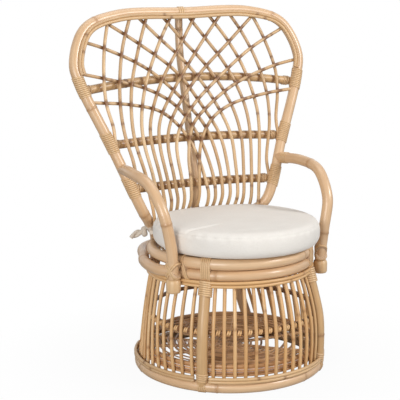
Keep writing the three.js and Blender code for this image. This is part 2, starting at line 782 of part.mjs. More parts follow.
function tie(sign) {
  const leg = hoopCurve.getPointAt(onSide(sign, hoopAt(tieHeight)));
  const rim = polar(cushionRadius, sign * tieRimAngle * degrees, tieHeight);
  rim.y -= cushionForward;
  const inward = rim.clone().sub(leg).setZ(0).normalize();
  const sidewards = new THREE.Vector3(-inward.y, inward.x, 0).multiplyScalar(-sign);
  const strapEnd = rim.clone().addScaledVector(inward, knotRadius).setZ(tieHeight);
  const strap = cane(new THREE.LineCurve3(leg.clone(), strapEnd), tieStrapRadius, rodSides, 1);
  const knotPlace = leg.clone().addScaledVector(inward, -knotRadius / 2);
  knotPlace.addScaledVector(sidewards, poleRadius + knotRadius / 2);
  const knot = new THREE.SphereGeometry(knotRadius, knotSides, knotRows).translate(...knotPlace);
  const tails = [-1, 1].map((way) => {
    const out = knotPlace.clone().addScaledVector(inward, -(tieTailReach + tieTailSpread * way));
    const tip = out.clone().addScaledVector(sidewards, 2 * tieTailSpread * way);
    tip.z -= tieTailDrop + 2 * tieTailSpread * way;
    return cane(spline([knotPlace.clone(), out, tip]), tieTailRadius, thinSides, 2);
  });
  const body = join([hoopSleeve(sign, tieHeight, tieWidth), strap, toSolid(knot), ...tails]);
  return cut(body, [hoopRoom, cushionRoom, upperRingRoom, lowerRingRoom, ...rodRooms]);
}

addPart('tie_left', tie(-1), fabricColour, 0.9);
addPart('tie_right', tie(1), fabricColour, 0.9);

// Straps of peel where poles meet

function barSleeve(curve, sign) {
  const share = (poleRadius + barStrapLength) / curve.getLength();
  return sleeve(curve, onSide(sign, barStrapStart), onSide(sign, share), barRadius);
}

const lashes = [
  { name: 'lower', height: lowerBarHeight, curve: bars[0].curve },
  { name: 'middle', height: middleBarHeight, curve: bars[1].curve },
  { name: 'upper', height: upperBarHeight, curve: bars[2].curve },
];
for (const lash of lashes) {
  for (const { side, sign } of uprights) {
    const sleeves = [hoopSleeve(sign, lash.height + lashRise, hoopStrapLength), barSleeve(lash.curve, sign)];
    const tools = [hoopRoom, ...barRooms, ...trimRooms, ...rodRooms, ...armRooms];
    addPart(`binding_${lash.name}_${side}`, cut(join(sleeves), tools), peelColour);
  }
}

// A flat strap closed round a rectangle with cut corners: its axis is Y before it is turned

function strapLoop(halfAcross, halfHigh, width) {
  const outline = (grow) => {
    const a = halfAcross + grow;
    const b = halfHigh + grow;
    const corner = strapCorner + grow * (2 - Math.SQRT2);
    const quarter = [[a, b - corner], [a - corner, b]];
    const half = [...quarter, ...quarter.map(([x, y]) => [-x, y]).reverse()];
    const whole = [...half, ...half.map(([x, y]) => [x, -y]).reverse()];
    return whole.map(([x, y]) => new THREE.Vector2(x, y));
  };
  const shape = new THREE.Shape(outline(strapThickness));
  shape.holes.push(new THREE.Path(outline(0)));
  const band = new THREE.ExtrudeGeometry(shape, { depth: width, bevelEnabled: false });
  return band.translate(0, 0, -width / 2).rotateX(Math.PI / 2);
}

const ringPairMiddle = (upperRingZ + lowerRingZ) / 2;
const ringPairHalf = 2 * poleRadius + clearance + strapSlack;

// Crossed straps that hold each arm to the two seat rings

const deckRoom = toSolid(new THREE.CylinderGeometry(
  deckRadius + clearance,
  deckRadius + clearance,
  seatDeckThickness + 2 * clearance,
  ringSegments,
).rotateX(Math.PI / 2).translate(0, 0, deckTop - seatDeckThickness / 2));
const seatRooms = [upperRingRoom, lowerRingRoom, ...apronRooms, deckRoom, cushionRoom];

const underRings = toSolid(new THREE.BoxGeometry(4 * footRingRadius, 4 * footRingRadius, floorRoom)
  .translate(0, 0, skirtTopZ - floorRoom / 2));

for (const arm of arms) {
  const angle = (arm.side === 'left' ? -1 : 1) * armAngle * degrees;
  const inside = seatRingRadius - poleRadius - clearance - strapSlack;
  const outside = armFootRadius + poleRadius + clearance + strapSlack;
  const middle = polar((inside + outside) / 2, angle, ringPairMiddle);
  const halfHigh = ringPairHalf / Math.cos(crossStrapTilt * degrees) + strapThickness;
  const loops = [-1, 1].map((way) => {
    const loop = strapLoop((outside - inside) / 2, halfHigh, crossStrapWidth);
    loop.rotateX(way * crossStrapTilt * degrees).rotateZ(angle - Math.PI / 2);
    return toSolid(loop.translate(middle.x, middle.y, middle.z));
  });
  const tools = [arm.room, hoopRoom, upperRingRoom, lowerRingRoom, deckRoom, cushionRoom, underRings];
  addPart(`binding_arm_${arm.side}`, cut(join(loops), tools), peelColour);
}

// Front uprights: a band over both seat rings and a wrap round the head of the upright,
// and a wrap round its foot with a band that turns under the foot ring

for (const upright of uprights) {
  const bandMiddle = polar(seatRingRadius, upright.angle, ringPairMiddle);
  const halfAcross = poleRadius + clearance + strapSlack;
  const band = strapLoop(halfAcross, ringPairHalf, uprightStrapWidth).rotateZ(upright.angle - Math.PI / 2);
  band.translate(bandMiddle.x, bandMiddle.y, bandMiddle.z);
  const length = lowerRingZ - footRingZ;
  const wrapFrom = 1 - (poleRadius + uprightWrapLength) / length;
  const wrapTo = 1 - (poleRadius + clearance + strapSlack) / length;
  const headWrap = sleeve(upright.curve, wrapFrom, wrapTo, uprightRadius);
  const head = cut(join([toSolid(band), headWrap]), [upright.room, ...seatRooms]);
  addPart(`binding_upright_${upright.side}`, head, peelColour);

  const footFrom = (poleRadius + clearance + strapSlack) / length;
  const footTo = (poleRadius + footWrapLength) / length;
  const footWrap = sleeve(upright.curve, footFrom, footTo, uprightRadius);
  const footBand = strapLoop(halfAcross, halfAcross, footBandWidth).rotateZ(upright.angle - Math.PI / 2);
  footBand.translate(...polar(footRingRadius, upright.angle, footRingZ));
  const floor = new THREE.BoxGeometry(4 * footRingRadius, 4 * footRingRadius, floorRoom);
  floor.translate(0, 0, strapThickness * 2 - floorRoom / 2);
  const footTools = [upright.room, footRingRoom, toSolid(floor), ...footTrimRooms, baseRimRoom];
  addPart(`binding_foot_${upright.side}`, cut(join([footWrap, toSolid(footBand)]), footTools), peelColour);
}

// The frame's origin is the middle of the chair's footprint box, on the floor

const box = new THREE.Box3().setFromObject(group);
group.position.set(-(box.min.x + box.max.x) / 2, -(box.min.y + box.max.y) / 2, -box.min.z);

export default group;
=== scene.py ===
import math
import random

import bpy
import numpy as np
from mathutils import Matrix, Vector


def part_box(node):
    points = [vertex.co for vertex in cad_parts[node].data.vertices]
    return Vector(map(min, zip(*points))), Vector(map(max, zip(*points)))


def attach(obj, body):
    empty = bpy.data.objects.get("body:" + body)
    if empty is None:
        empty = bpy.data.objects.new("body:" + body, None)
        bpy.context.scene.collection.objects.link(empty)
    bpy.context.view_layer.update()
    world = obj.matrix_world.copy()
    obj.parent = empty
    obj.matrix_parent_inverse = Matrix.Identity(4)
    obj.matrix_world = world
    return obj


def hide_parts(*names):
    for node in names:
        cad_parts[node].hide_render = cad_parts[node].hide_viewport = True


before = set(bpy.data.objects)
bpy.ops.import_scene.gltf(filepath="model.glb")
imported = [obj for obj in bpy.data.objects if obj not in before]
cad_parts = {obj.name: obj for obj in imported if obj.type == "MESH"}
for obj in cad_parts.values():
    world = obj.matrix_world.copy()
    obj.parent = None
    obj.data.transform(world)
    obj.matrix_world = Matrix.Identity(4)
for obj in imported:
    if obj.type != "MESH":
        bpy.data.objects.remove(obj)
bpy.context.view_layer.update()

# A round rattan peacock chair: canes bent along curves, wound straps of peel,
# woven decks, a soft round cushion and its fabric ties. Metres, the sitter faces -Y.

pathStep = 0.002

draw = random.Random(11)


# The middle of the round seat and foot, which all places below are measured from
ringLow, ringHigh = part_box("seat_ring_upper")
seatCentre = np.array([0, (ringLow[1] + ringHigh[1]) / 2, 0])


# Camera, at the photograph's height, distance and angle

camera = {"place": (-1.578, -2.820, 1.117), "turn": -27.6, "down": 10.37, "roll": -0.12,
          "sensor": 36.0, "lens": 94.76}
bpy.ops.object.camera_add()
eye = bpy.context.object
eye.name = "camera"
eye.matrix_world = (Matrix.Translation(Vector(camera["place"]) + Vector(seatCentre))
                    @ Matrix.Rotation(math.radians(camera["turn"]), 4, "Z")
                    @ Matrix.Rotation(math.radians(90 - camera["down"]), 4, "X")
                    @ Matrix.Rotation(math.radians(camera["roll"]), 4, "Z"))
eye.data.sensor_width = camera["sensor"]
eye.data.lens = camera["lens"]
bpy.context.scene.camera = eye
print("camera placed")


# Small helpers for outlines

def smooth(share):
    share = np.clip(share, 0, 1)
    return share * share * (3 - 2 * share)


def polar(radius, angle, height):
    # The angle runs from the front towards +X, round the seat's own centre
    return np.array([radius * math.sin(angle), -radius * math.cos(angle), height])


def ringWays(angle):
    # The way along a ring and the way straight out of it
    return np.array([math.cos(angle), math.sin(angle), 0]), polar(1, angle, 0)


def bend(points, steps=24):
    # A close row of points on the curve that a cane takes through the given ones
    p = np.asarray(points, float)
    p = np.vstack([2 * p[0] - p[1], p, 2 * p[-1] - p[-2]])
    share = np.linspace(0, 1, steps, endpoint=False)[:, None]
    rows = []
    for a, b, c, d in zip(p[:-3], p[1:-2], p[2:-1], p[3:]):
        before, inside, after = (math.sqrt(np.linalg.norm(q - r)) for q, r in ((b, a), (c, b), (d, c)))
        leave = ((b - a) / before - (c - a) / (before + inside) + (c - b) / inside) * inside
        arrive = ((c - b) / inside - (d - b) / (inside + after) + (d - c) / after) * inside
        rows.append(b + leave * share + (3 * (c - b) - 2 * leave - arrive) * share ** 2
                    + (2 * (b - c) + leave + arrive) * share ** 3)
    return np.vstack([*rows, p[-2]])


def travelled(path):
    return np.concatenate([[0], np.cumsum(np.linalg.norm(np.diff(path, axis=0), axis=1))])


def pointsAt(path, places):
    run = travelled(path)
    return np.stack([np.interp(places, run, path[:, k]) for k in range(3)], axis=1)


def pointAt(path, share):
    return pointsAt(path, [share * travelled(path)[-1]])[0]


def pieceOf(path, start, end):
    # The stretch of a path between two shares of its length
    whole = travelled(path)[-1]
    count = max(3, int((end - start) * whole / pathStep))
    return pointsAt(path, np.linspace(start * whole, end * whole, count))


def mirrored(points):
    return np.asarray(points) * (-1, 1, 1)


# Each kind of cane has its radius and its curve's bevel resolution: 4 + 2 * that many faces go round

radiusOf = {"hoop": 0.017, "pole": 0.017, "upright": 0.0165, "bar": 0.014, "post": 0.013, "rod": 0.0055,
            "trim": 0.0052, "midRing": 0.007, "baseRim": 0.007, "baseStrand": 0.0036, "thinStrand": 0.0023,
            "seatStrand": 0.0023, "seatSpoke": 0.0019}
bevelOf = {"hoop": 10, "pole": 8, "upright": 8, "bar": 7, "post": 7, "rod": 3, "trim": 3, "midRing": 4,
           "baseRim": 3, "baseStrand": 2, "thinStrand": 2, "seatStrand": 1, "seatSpoke": 1}
poleRadius, uprightRadius, barRadius, postRadius, rodRadius, trimRadius, midRingRadius = (
    radiusOf[kind] for kind in ("pole", "upright", "bar", "post", "rod", "trim", "midRing"))


# The chair's bent outlines, from the same sizes as its frame

seat = {"ringRadius": 0.243, "top": 0.3945, "gap": 0.0003, "joint": 45}
foot = {"ringRadius": 0.284, "bow": 0.020, "uprightOut": 0.003, "uprightAngle": 45,
        "uprightShort": 0.001, "levels": (0, 0.25, 0.5, 0.75, 1)}
back = {"lean": 15, "depth": 0.136, "leanStart": 0.510, "bow": 0.025, "bowHalf": 0.400, "landing": 0.135,
        "landingUnder": 0.020, "widest": 0.407, "top": 1.101, "skew": 0.026, "skewStart": 0.70,
        "skewRun": 0.36, "outline": ((0.190, 0.440), (0.228, 0.486), (0.309, 0.681), (0.395, 0.888),
                                     (0.407, 0.955), (0.358, 1.059), (0.245, 1.098))}
leg = {"angle": 32, "footAngle": 45, "calfHeight": 0.200, "calfAngle": 34, "calfOut": 0.004,
       "bulgeStart": 74, "bulgeRun": 46, "besideStart": 66, "besideRun": 15, "besideOut": 0.026,
       "bulgeBlend": 4}

upperRingZ = seat["top"] - poleRadius
lowerRingZ = upperRingZ - 2 * poleRadius - seat["gap"]
skirtTopZ = lowerRingZ - poleRadius
footRingZ = poleRadius
skirtFootZ = 2 * poleRadius
legRadius = seat["ringRadius"] + 2 * poleRadius + seat["gap"]
legBulge = 4 * poleRadius + 2 * seat["gap"]
leanFactor = 1 / math.cos(math.radians(back["lean"]))


def backPlane(x, z):
    bow = back["bow"] * (1 - (x / back["bowHalf"]) ** 2)
    return back["depth"] + math.tan(math.radians(back["lean"])) * (z - back["leanStart"]) + bow


def backSurface(x, z):
    landing = math.sqrt(max(seat["ringRadius"] ** 2 - x * x, 0))
    return landing + (backPlane(x, z) - landing) * smooth((z - seat["top"]) / back["landing"])


def ringPush(angle):
    # The lower ring stands out behind the arms, and further out round the rear legs
    start, run, besideStart, besideRun = (
        math.radians(leg[key]) for key in ("bulgeStart", "bulgeRun", "besideStart", "besideRun"))
    behind = legBulge * smooth((start - (math.pi - abs(angle))) / run)
    beside = leg["besideOut"] * smooth((abs(angle) - besideStart) / besideRun)
    return (behind ** leg["bulgeBlend"] + beside ** leg["bulgeBlend"]) ** (1 / leg["bulgeBlend"])


def skirtRadius(z):
    share = (skirtTopZ - z) / (skirtTopZ - skirtFootZ)
    straight = seat["ringRadius"] - seat["gap"] + (foot["ringRadius"] - seat["ringRadius"]) * share
    return straight + foot["bow"] * math.sin(math.pi * min(max(share, 0), 1))


def handBent(path):
    # The top of the back was bent by hand, a little lower at its left shoulder than at its right
    path = np.array(path)
    path[:, 2] += back["skew"] * path[:, 0] * smooth((path[:, 2] - back["skewStart"]) / back["skewRun"])
    return path


def hoopLeg(radius, offBack, z):
    return [-radius * math.sin(math.radians(offBack)), radius * math.cos(math.radians(offBack)), z]


def hoopPoint(half, z):
    seatY = legRadius * math.cos(math.radians(leg["angle"]))
    lean = smooth((z - seat["top"] + back["landingUnder"]) / back["landing"])
    return [-half, seatY + (backPlane(half, z) - seatY) * lean, z]


hoopSide = [
    hoopLeg(foot["ringRadius"] + foot["uprightOut"], leg["footAngle"], footRingZ),
    hoopLeg(skirtRadius(leg["calfHeight"]) + leg["calfOut"], leg["calfAngle"], leg["calfHeight"]),
    hoopLeg(legRadius, leg["angle"], skirtTopZ),
    hoopLeg(legRadius, leg["angle"], seat["top"] - poleRadius / 2),
    *[hoopPoint(half, z) for half, z in back["outline"]],
]
hoopPath = handBent(bend([*hoopSide, hoopPoint(0, back["top"]), *mirrored(hoopSide)[::-1].tolist()]))
hoopRun = travelled(hoopPath)
hoopLength = hoopRun[-1]


def hoopShare(z):
    # How far along the left half of the hoop a height comes
    half = len(hoopPath) // 2
    return np.interp(z, hoopPath[:half, 2], hoopRun[:half]) / hoopLength


def onSide(sign, share):
    return share if sign < 0 else 1 - share


def hoopPiece(sign, height, length):
    # The stretch of the hoop at a height on one side
    return pieceOf(hoopPath, *sorted(onSide(sign, hoopShare(height + way * length / 2)) for way in (-1, 1)))


def around(radiusAt, z, start, end, step=0.004):
    # A level path round the seat's centre. The radius is a number, or is given for each angle in radians.
    count = max(4, int(abs(end - start) * seat["ringRadius"] / step))
    return np.array([polar(radiusAt(a) if callable(radiusAt) else radiusAt, a, z)
                     for a in np.linspace(start, end, count)])


def ring(radiusAt, z, joint):
    # A ring's two ends meet at the joint, under a strap or behind a rod
    return around(radiusAt, z, joint, joint + math.tau)


# Canes: a curve with a round bevel, turned into a mesh that remembers how its skin runs

cane = {"step": 0.010, "knotEvery": (0.26, 0.38), "firstKnot": 0.04, "lastKnot": 0.02, "knotHeight": 0.055,
        "knotLength": 0.0035, "knotRings": (-2.2, -1.4, -0.8, -0.35, 0, 0.35, 0.8, 1.4, 2.2),
        "groove": 0.35, "grooveAt": 1.4, "scar": 0.006, "uneven": 0.012, "waves": (9, 23, 51),
        "closest": 0.0002, "trimmed": 0.0015, "trimmedTo": 0.93, "skinShift": 40}
# Painted shadows: dark spots in a cane's colour where another cane crosses it, as wide as each one's spread
paintedShadow = {"shade": 1.5, "spread": 0.0105, "rings": (-1.5, -1, -0.5, 0, 0.5, 1, 1.5), "closest": 0.001}


def readPoints(piece):
    points = np.empty(len(piece.data.vertices) * 3)
    piece.data.vertices.foreach_get("co", points)
    return points.reshape(-1, 3)


def writePoints(piece, points):
    piece.data.vertices.foreach_set("co", points.ravel())
    piece.data.update()


def setAttribute(piece, name, values, domain="POINT"):
    # A number or a vector for each point or face
    kind, field = ("FLOAT", "value") if np.ndim(values) == 1 else ("FLOAT_VECTOR", "vector")
    piece.data.attributes.new(name, kind, domain).data.foreach_set(field, values.ravel())


def select(parts):
    bpy.ops.object.select_all(action="DESELECT")
    for part in parts:
        part.select_set(True)
    bpy.context.view_layer.objects.active = parts[0]


def markSkin(piece, places, radii, sides, offset, tone, scarsAndShade):
    # Place along the cane and round it, nearness to a knot scar together with painted shade at crossings and
    # in strap grooves, and the cane's own tone
    rows = len(places)
    turn = np.tile(np.arange(sides) * math.tau / sides, rows)
    reach = np.repeat(radii, sides)
    skin = np.stack([np.repeat(places, sides) + offset, reach * np.cos(turn), reach * np.sin(turn)], axis=1)
    setAttribute(piece, "skin", skin)
    # The knot values hold the real knot scars and also painted shade
    setAttribute(piece, "knot", np.repeat(scarsAndShade, sides))
    setAttribute(piece, "tone", np.full(rows * sides, tone))


def sweepCane(path, radii, detail):
    bpy.ops.object.select_all(action="DESELECT")
    bpy.ops.curve.primitive_nurbs_path_add(location=(0, 0, 0))
    piece = bpy.context.object
    curve = piece.data
    curve.splines.clear()
    line = curve.splines.new("POLY")
    line.points.add(len(path) - 1)
    line.points.foreach_set("co", np.hstack([path + seatCentre, np.ones((len(path), 1))]).ravel())
    line.points.foreach_set("radius", radii)
    curve.bevel_depth = 1.0
    curve.bevel_resolution = detail
    curve.use_fill_caps = False
    bpy.ops.object.convert(target="MESH")
    return bpy.context.object


def closeEnds(piece, smoothAngle=50):
    # Fills the two open ends and notes the new faces as cut cane
    sideFaces = len(piece.data.polygons)
    bpy.ops.object.mode_set(mode="EDIT")
    bpy.ops.mesh.select_all(action="SELECT")
    bpy.ops.mesh.fill_holes(sides=0)
    bpy.ops.mesh.select_all(action="SELECT")
    bpy.ops.mesh.normals_make_consistent(inside=False)
    bpy.ops.object.mode_set(mode="OBJECT")
    cut = np.zeros(len(piece.data.polygons))
    cut[sideFaces:] = 1
    setAttribute(piece, "cut", cut, "FACE")
    bpy.ops.object.shade_smooth_by_angle(angle=math.radians(smoothAngle))


def drawCane(path, kind, step=cane["step"], knots=True, trimEnds=False, paintedShadows=(), spread=paintedShadow["spread"]):
    path, radius, detail = np.asarray(path), radiusOf[kind], bevelOf[kind]
    length = travelled(path)[-1]
    places = np.linspace(0, length, max(3, int(length / step) + 1))
    where = []
    if knots:
        spot = draw.uniform(cane["firstKnot"], cane["knotEvery"][1])
        while spot < length - cane["lastKnot"]:
            where.append(spot)
            spot += draw.uniform(*cane["knotEvery"])
        close = np.array(cane["knotRings"]) * cane["knotLength"]
        places = np.unique(np.concatenate([places, *[knot + close for knot in where]]))
        places = places[np.diff(places, prepend=-1) > cane["closest"]]
    if len(paintedShadows):
        beside = np.array(paintedShadow["rings"]) * spread
        places = np.unique(np.clip(np.concatenate([places, *[spot + beside for spot in paintedShadows]]), 0, length))
        places = places[np.diff(places, prepend=-1) > paintedShadow["closest"]]
    if trimEnds:
        places = np.unique(np.concatenate([places, [cane["trimmed"], length - cane["trimmed"]]]))
    offset = draw.uniform(0, cane["skinShift"])
    waves = [np.sin(places * rate + draw.uniform(0, math.tau)) for rate in cane["waves"]]
    radii = radius * (1 + cane["uneven"] * (sum(waves) / len(waves)))
    for knot in where:
        away = (places - knot) / cane["knotLength"]
        groove = cane["groove"] * np.exp(-(away - cane["grooveAt"]) ** 2)
        radii += radius * cane["knotHeight"] * (np.exp(-away ** 2) - groove)
    if trimEnds:
        radii[[0, -1]] *= cane["trimmedTo"]
    scarsAndShade = np.zeros(len(places))
    for knot in where:
        scarsAndShade = np.maximum(scarsAndShade, np.exp(-((places - knot) / cane["scar"]) ** 2))
    # Painted shadows where other canes cross darken the colour through the same values as the knot scars
    for spot in paintedShadows:
        scarsAndShade = np.maximum(scarsAndShade, paintedShadow["shade"] * np.exp(-((places - spot) / spread) ** 2))
    piece = sweepCane(pointsAt(path, places), radii, detail)
    markSkin(piece, places, radii, 4 + 2 * detail, offset, draw.uniform(-1, 1), scarsAndShade)
    closeEnds(piece)
    return piece


# Straps of rattan peel: each turn is a flat band with rounded edges

# The shade values are painted shade in the groove between turns: full at the groove's floor, three quarters
# on its sides
strap = {"width": 0.0062, "thickness": 0.0021, "lean": 0.0022, "leanFrom": (0.3, 0.9, 0.2), "tucked": 0.97,
         "shape": ((0, 0.30), (0.07, 0.70), (0.2, 1.0), (0.5, 1.12), (0.8, 1.0), (0.93, 0.70)),
         "shade": {0.30: 1.0, 0.70: 0.75}}


def drawWrap(path, radius, detail=8, lean=1.0):
    # Turns of peel wound side by side round a pole, from one end of the path to the other
    length = travelled(path)[-1]
    turns = max(1, round(length / strap["width"]))
    steps = [(turn + at, high) for turn in range(turns) for at, high in strap["shape"]]
    steps.append((turns, strap["shape"][0][1]))
    places = np.array([at for at, high in steps]) * length / turns
    radii = radius + strap["thickness"] * np.array([high for at, high in steps])
    radii[[0, -1]] = radius * strap["tucked"]
    line = pointsAt(path, places)
    piece = sweepCane(line, radii, detail)
    sides = 4 + 2 * detail
    points = readPoints(piece).reshape(len(places), sides, 3)
    middle = (line + seatCentre)[:, None, :]
    along = np.gradient(line, axis=0)
    along /= np.linalg.norm(along, axis=1)[:, None]
    across = np.cross(along, strap["leanFrom"])
    side = ((points - middle) * across[:, None, :]).sum(axis=2)
    points += along[:, None, :] * (side * lean * strap["lean"] / radius)[:, :, None]
    writePoints(piece, points)
    # Painted shade for the grooves between turns, carried in the knot values
    shade = np.array([strap["shade"].get(high, 0.0) for at, high in steps])
    markSkin(piece, places, radii, sides, draw.uniform(0, cane["skinShift"]), draw.uniform(-1, 1), shade)
    closeEnds(piece)
    return piece


def joined(parts):
    select(parts)
    bpy.ops.object.join()
    return bpy.context.object


# Node groups that several finishes share

def newGroup(name, colours, numbers):
    # Each finish sets all of its group's inputs, so they have no values of their own
    group = bpy.data.node_groups.new(name, "ShaderNodeTree")
    for way, kind, labels in (("INPUT", "NodeSocketColor", colours), ("INPUT", "NodeSocketFloat", numbers),
                              ("OUTPUT", "NodeSocketColor", ["Color"]),
                              ("OUTPUT", "NodeSocketFloat", ["Roughness", "Height"])):
        for label in labels:
            group.interface.new_socket(label, in_out=way, socket_type=kind)
    return group, group.nodes.new("NodeGroupInput").outputs, group.nodes.new("NodeGroupOutput").inputs


def setInput(tree, socket, value):
    if isinstance(value, bpy.types.NodeSocket):
        tree.links.new(value, socket)
    else:
        socket.default_value = value


def addNode(tree, kind, inputs, **settings):
    node = tree.nodes.new("ShaderNode" + kind)
    for key, value in settings.items():
        setattr(node, key, value)
    for key, value in inputs.items():
        setInput(tree, node.inputs[key], value)
    return node


def calculate(tree, operation, *values):
    return addNode(tree, "Math", dict(enumerate(values)), operation=operation).outputs[0]


def times(tree, first, second):
    return calculate(tree, "MULTIPLY", first, second)


def blendColour(tree, share, first, second):
    node = addNode(tree, "Mix", {}, data_type="RGBA")
    for name, value in (("Factor_Float", share), ("A_Color", first), ("B_Color", second)):
        setInput(tree, next(s for s in node.inputs if s.identifier == name), value)
    return next(s for s in node.outputs if s.identifier == "Result_Color")


def between(tree, value, low, high, toLow=0.0, toHigh=1.0):
    node = addNode(tree, "MapRange", {"Value": value, "From Min": low, "From Max": high,
                                      "To Min": toLow, "To Max": toHigh})
    return node.outputs["Result"]


# Noises as scale, detail and the range that is used
grain = {"fine": ((12, 700, 700), 3, 0.3, 0.7), "broad": ((3.5, 110, 110), 2, 0.35, 0.7),
         "cloud": ((16, 36, 36), 3, 0.35, 0.72), "cloudShade": 0.45, "pores": 900.0, "poreEdge": (0.15, 0.5),
         "rough": (0.34, 0.5), "fineHeight": 0.35, "scarDepth": 0.5}


def makeCaneGrain():
    # Long fibres, cloudy patches, dark scars at the knots and painted shade where canes cross and between
    # turns of peel, all along the cane's own skin
    group, given, out = newGroup("caneGrain", ["Base", "Pale", "Dark", "Cut"],
                                 ["Fibre", "Patches", "Tones", "Scars"])
    skin = addNode(group, "Attribute", {}, attribute_name="skin").outputs["Vector"]
    knot, tone, cut = (addNode(group, "Attribute", {}, attribute_name=name).outputs["Fac"]
                       for name in ("knot", "tone", "cut"))

    def noise(scale, detail, low, high):
        place = addNode(group, "Mapping", {"Vector": skin, "Scale": scale}).outputs["Vector"]
        spots = addNode(group, "TexNoise", {"Vector": place, "Scale": 1.0, "Detail": detail}).outputs["Fac"]
        return between(group, spots, low, high)

    fine, broad, cloud = (noise(*grain[name]) for name in ("fine", "broad", "cloud"))
    tones = times(group, tone, given["Tones"])
    colour = blendColour(group, times(group, broad, given["Patches"]), given["Base"], given["Pale"])
    # The last blend darkens by the knot values: real knot scars, and painted shade where canes cross and
    # between turns of peel
    for share, label in ((times(group, cloud, times(group, given["Patches"], grain["cloudShade"])), "Dark"),
                         (times(group, fine, given["Fibre"]), "Dark"),
                         (calculate(group, "MAXIMUM", tones, 0.0), "Dark"),
                         (calculate(group, "MAXIMUM", times(group, tones, -1.0), 0.0), "Pale"),
                         (times(group, knot, given["Scars"]), "Dark")):
        colour = blendColour(group, share, colour, given[label])
    pores = addNode(group, "TexVoronoi", {"Vector": skin, "Scale": grain["pores"]}).outputs["Distance"]
    endGrain = blendColour(group, between(group, pores, *grain["poreEdge"]), given["Dark"], given["Cut"])
    group.links.new(blendColour(group, cut, colour, endGrain), out["Color"])
    group.links.new(between(group, cloud, 0.0, 1.0, *grain["rough"]), out["Roughness"])
    group.links.new(calculate(group, "SUBTRACT", times(group, fine, grain["fineHeight"]),
                              times(group, knot, grain["scarDepth"])), out["Height"])
    return group


weave = {"slub": (160.0, 4.0), "slubRange": (0.35, 0.7), "soft": (14.0, 2.0),
         "softRange": (0.4, 0.75, 0.0, 0.12),
         "threadRange": (-1.0, 1.0, 0.08, 0.0), "rough": (0.3, 0.7, 0.86, 0.95), "height": 0.5}


def makeClothWeave():
    # Plain weave: level on top of a cushion, running round it at the sides
    group, given, out = newGroup("clothWeave", ["Base", "Shade"], ["Threads", "Slub"])
    cloth = addNode(group, "Attribute", {}, attribute_name="cloth").outputs["Vector"]
    split = addNode(group, "SeparateXYZ", {"Vector": cloth}).outputs
    warp, weft = (calculate(group, "SINE", times(group, split[axis], given["Threads"])) for axis in "XY")
    threads = times(group, warp, weft)
    slub, soft = (addNode(group, "TexNoise", {"Vector": cloth, "Scale": scale,
                                              "Detail": detail}).outputs["Fac"]
                  for scale, detail in (weave["slub"], weave["soft"]))
    share = times(group, between(group, slub, *weave["slubRange"]), given["Slub"])
    for more in (between(group, soft, *weave["softRange"]), between(group, threads, *weave["threadRange"])):
        share = calculate(group, "ADD", share, more)
    group.links.new(blendColour(group, share, given["Base"], given["Shade"]), out["Color"])
    group.links.new(between(group, slub, *weave["rough"]), out["Roughness"])
    group.links.new(calculate(group, "ADD", times(group, threads, weave["height"]), slub), out["Height"])
    return group


caneGrain = makeCaneGrain()
clothWeave = makeClothWeave()
bumpStrength = 0.6


def newFinish(name, group, values, bump, shader):
    material = bpy.data.materials.new(name)
    material.use_nodes = True
    tree = material.node_tree
    principled = tree.nodes["Principled BSDF"]
    pattern = tree.nodes.new("ShaderNodeGroup")
    pattern.node_tree = group
    for label, value in values.items():
        pattern.inputs[label].default_value = value
    relief = addNode(tree, "Bump", {"Height": pattern.outputs["Height"], "Distance": bump,
                                    "Strength": bumpStrength})
    shader = {"Base Color": pattern.outputs["Color"], "Roughness": pattern.outputs["Roughness"],
              "Normal": relief.outputs["Normal"], **shader}
    for label, value in shader.items():
        setInput(tree, principled.inputs[label], value)
    return material


caneLook = {"Cut": (0.620, 0.420, 0.260, 1), "Fibre": 0.18, "Patches": 0.40, "Tones": 0.22, "Scars": 0.65}
poleLook = {"Fibre": 0.16, "Patches": 0.42, "Tones": 0.14, "Scars": 0.55}
matLook = {"Cut": (0.420, 0.270, 0.160, 1), "Fibre": 0.25, "Patches": 0.45, "Tones": 0.60, "Scars": 0.60}
clothLook = {"threads": 3600.0, "bump": 0.0002, "sheen": 0.15, "sheenRoughness": 0.5}


def caneFinish(slot, name, base, pale, dark, changes, coat, bump=0.0003):
    values = {**caneLook, **changes, "Base": (*base, 1), "Pale": (*pale, 1), "Dark": (*dark, 1)}
    return slot, newFinish(name, caneGrain, values, bump, {"Coat Weight": coat[0], "Coat Roughness": coat[1]})


def clothFinish(slot, name, base, shade, slub):
    values = {"Base": (*base, 1), "Shade": (*shade, 1), "Threads": clothLook["threads"], "Slub": slub}
    sheen = {"Sheen Weight": clothLook["sheen"], "Sheen Roughness": clothLook["sheenRoughness"]}
    return slot, newFinish(name, clothWeave, values, clothLook["bump"], sheen)


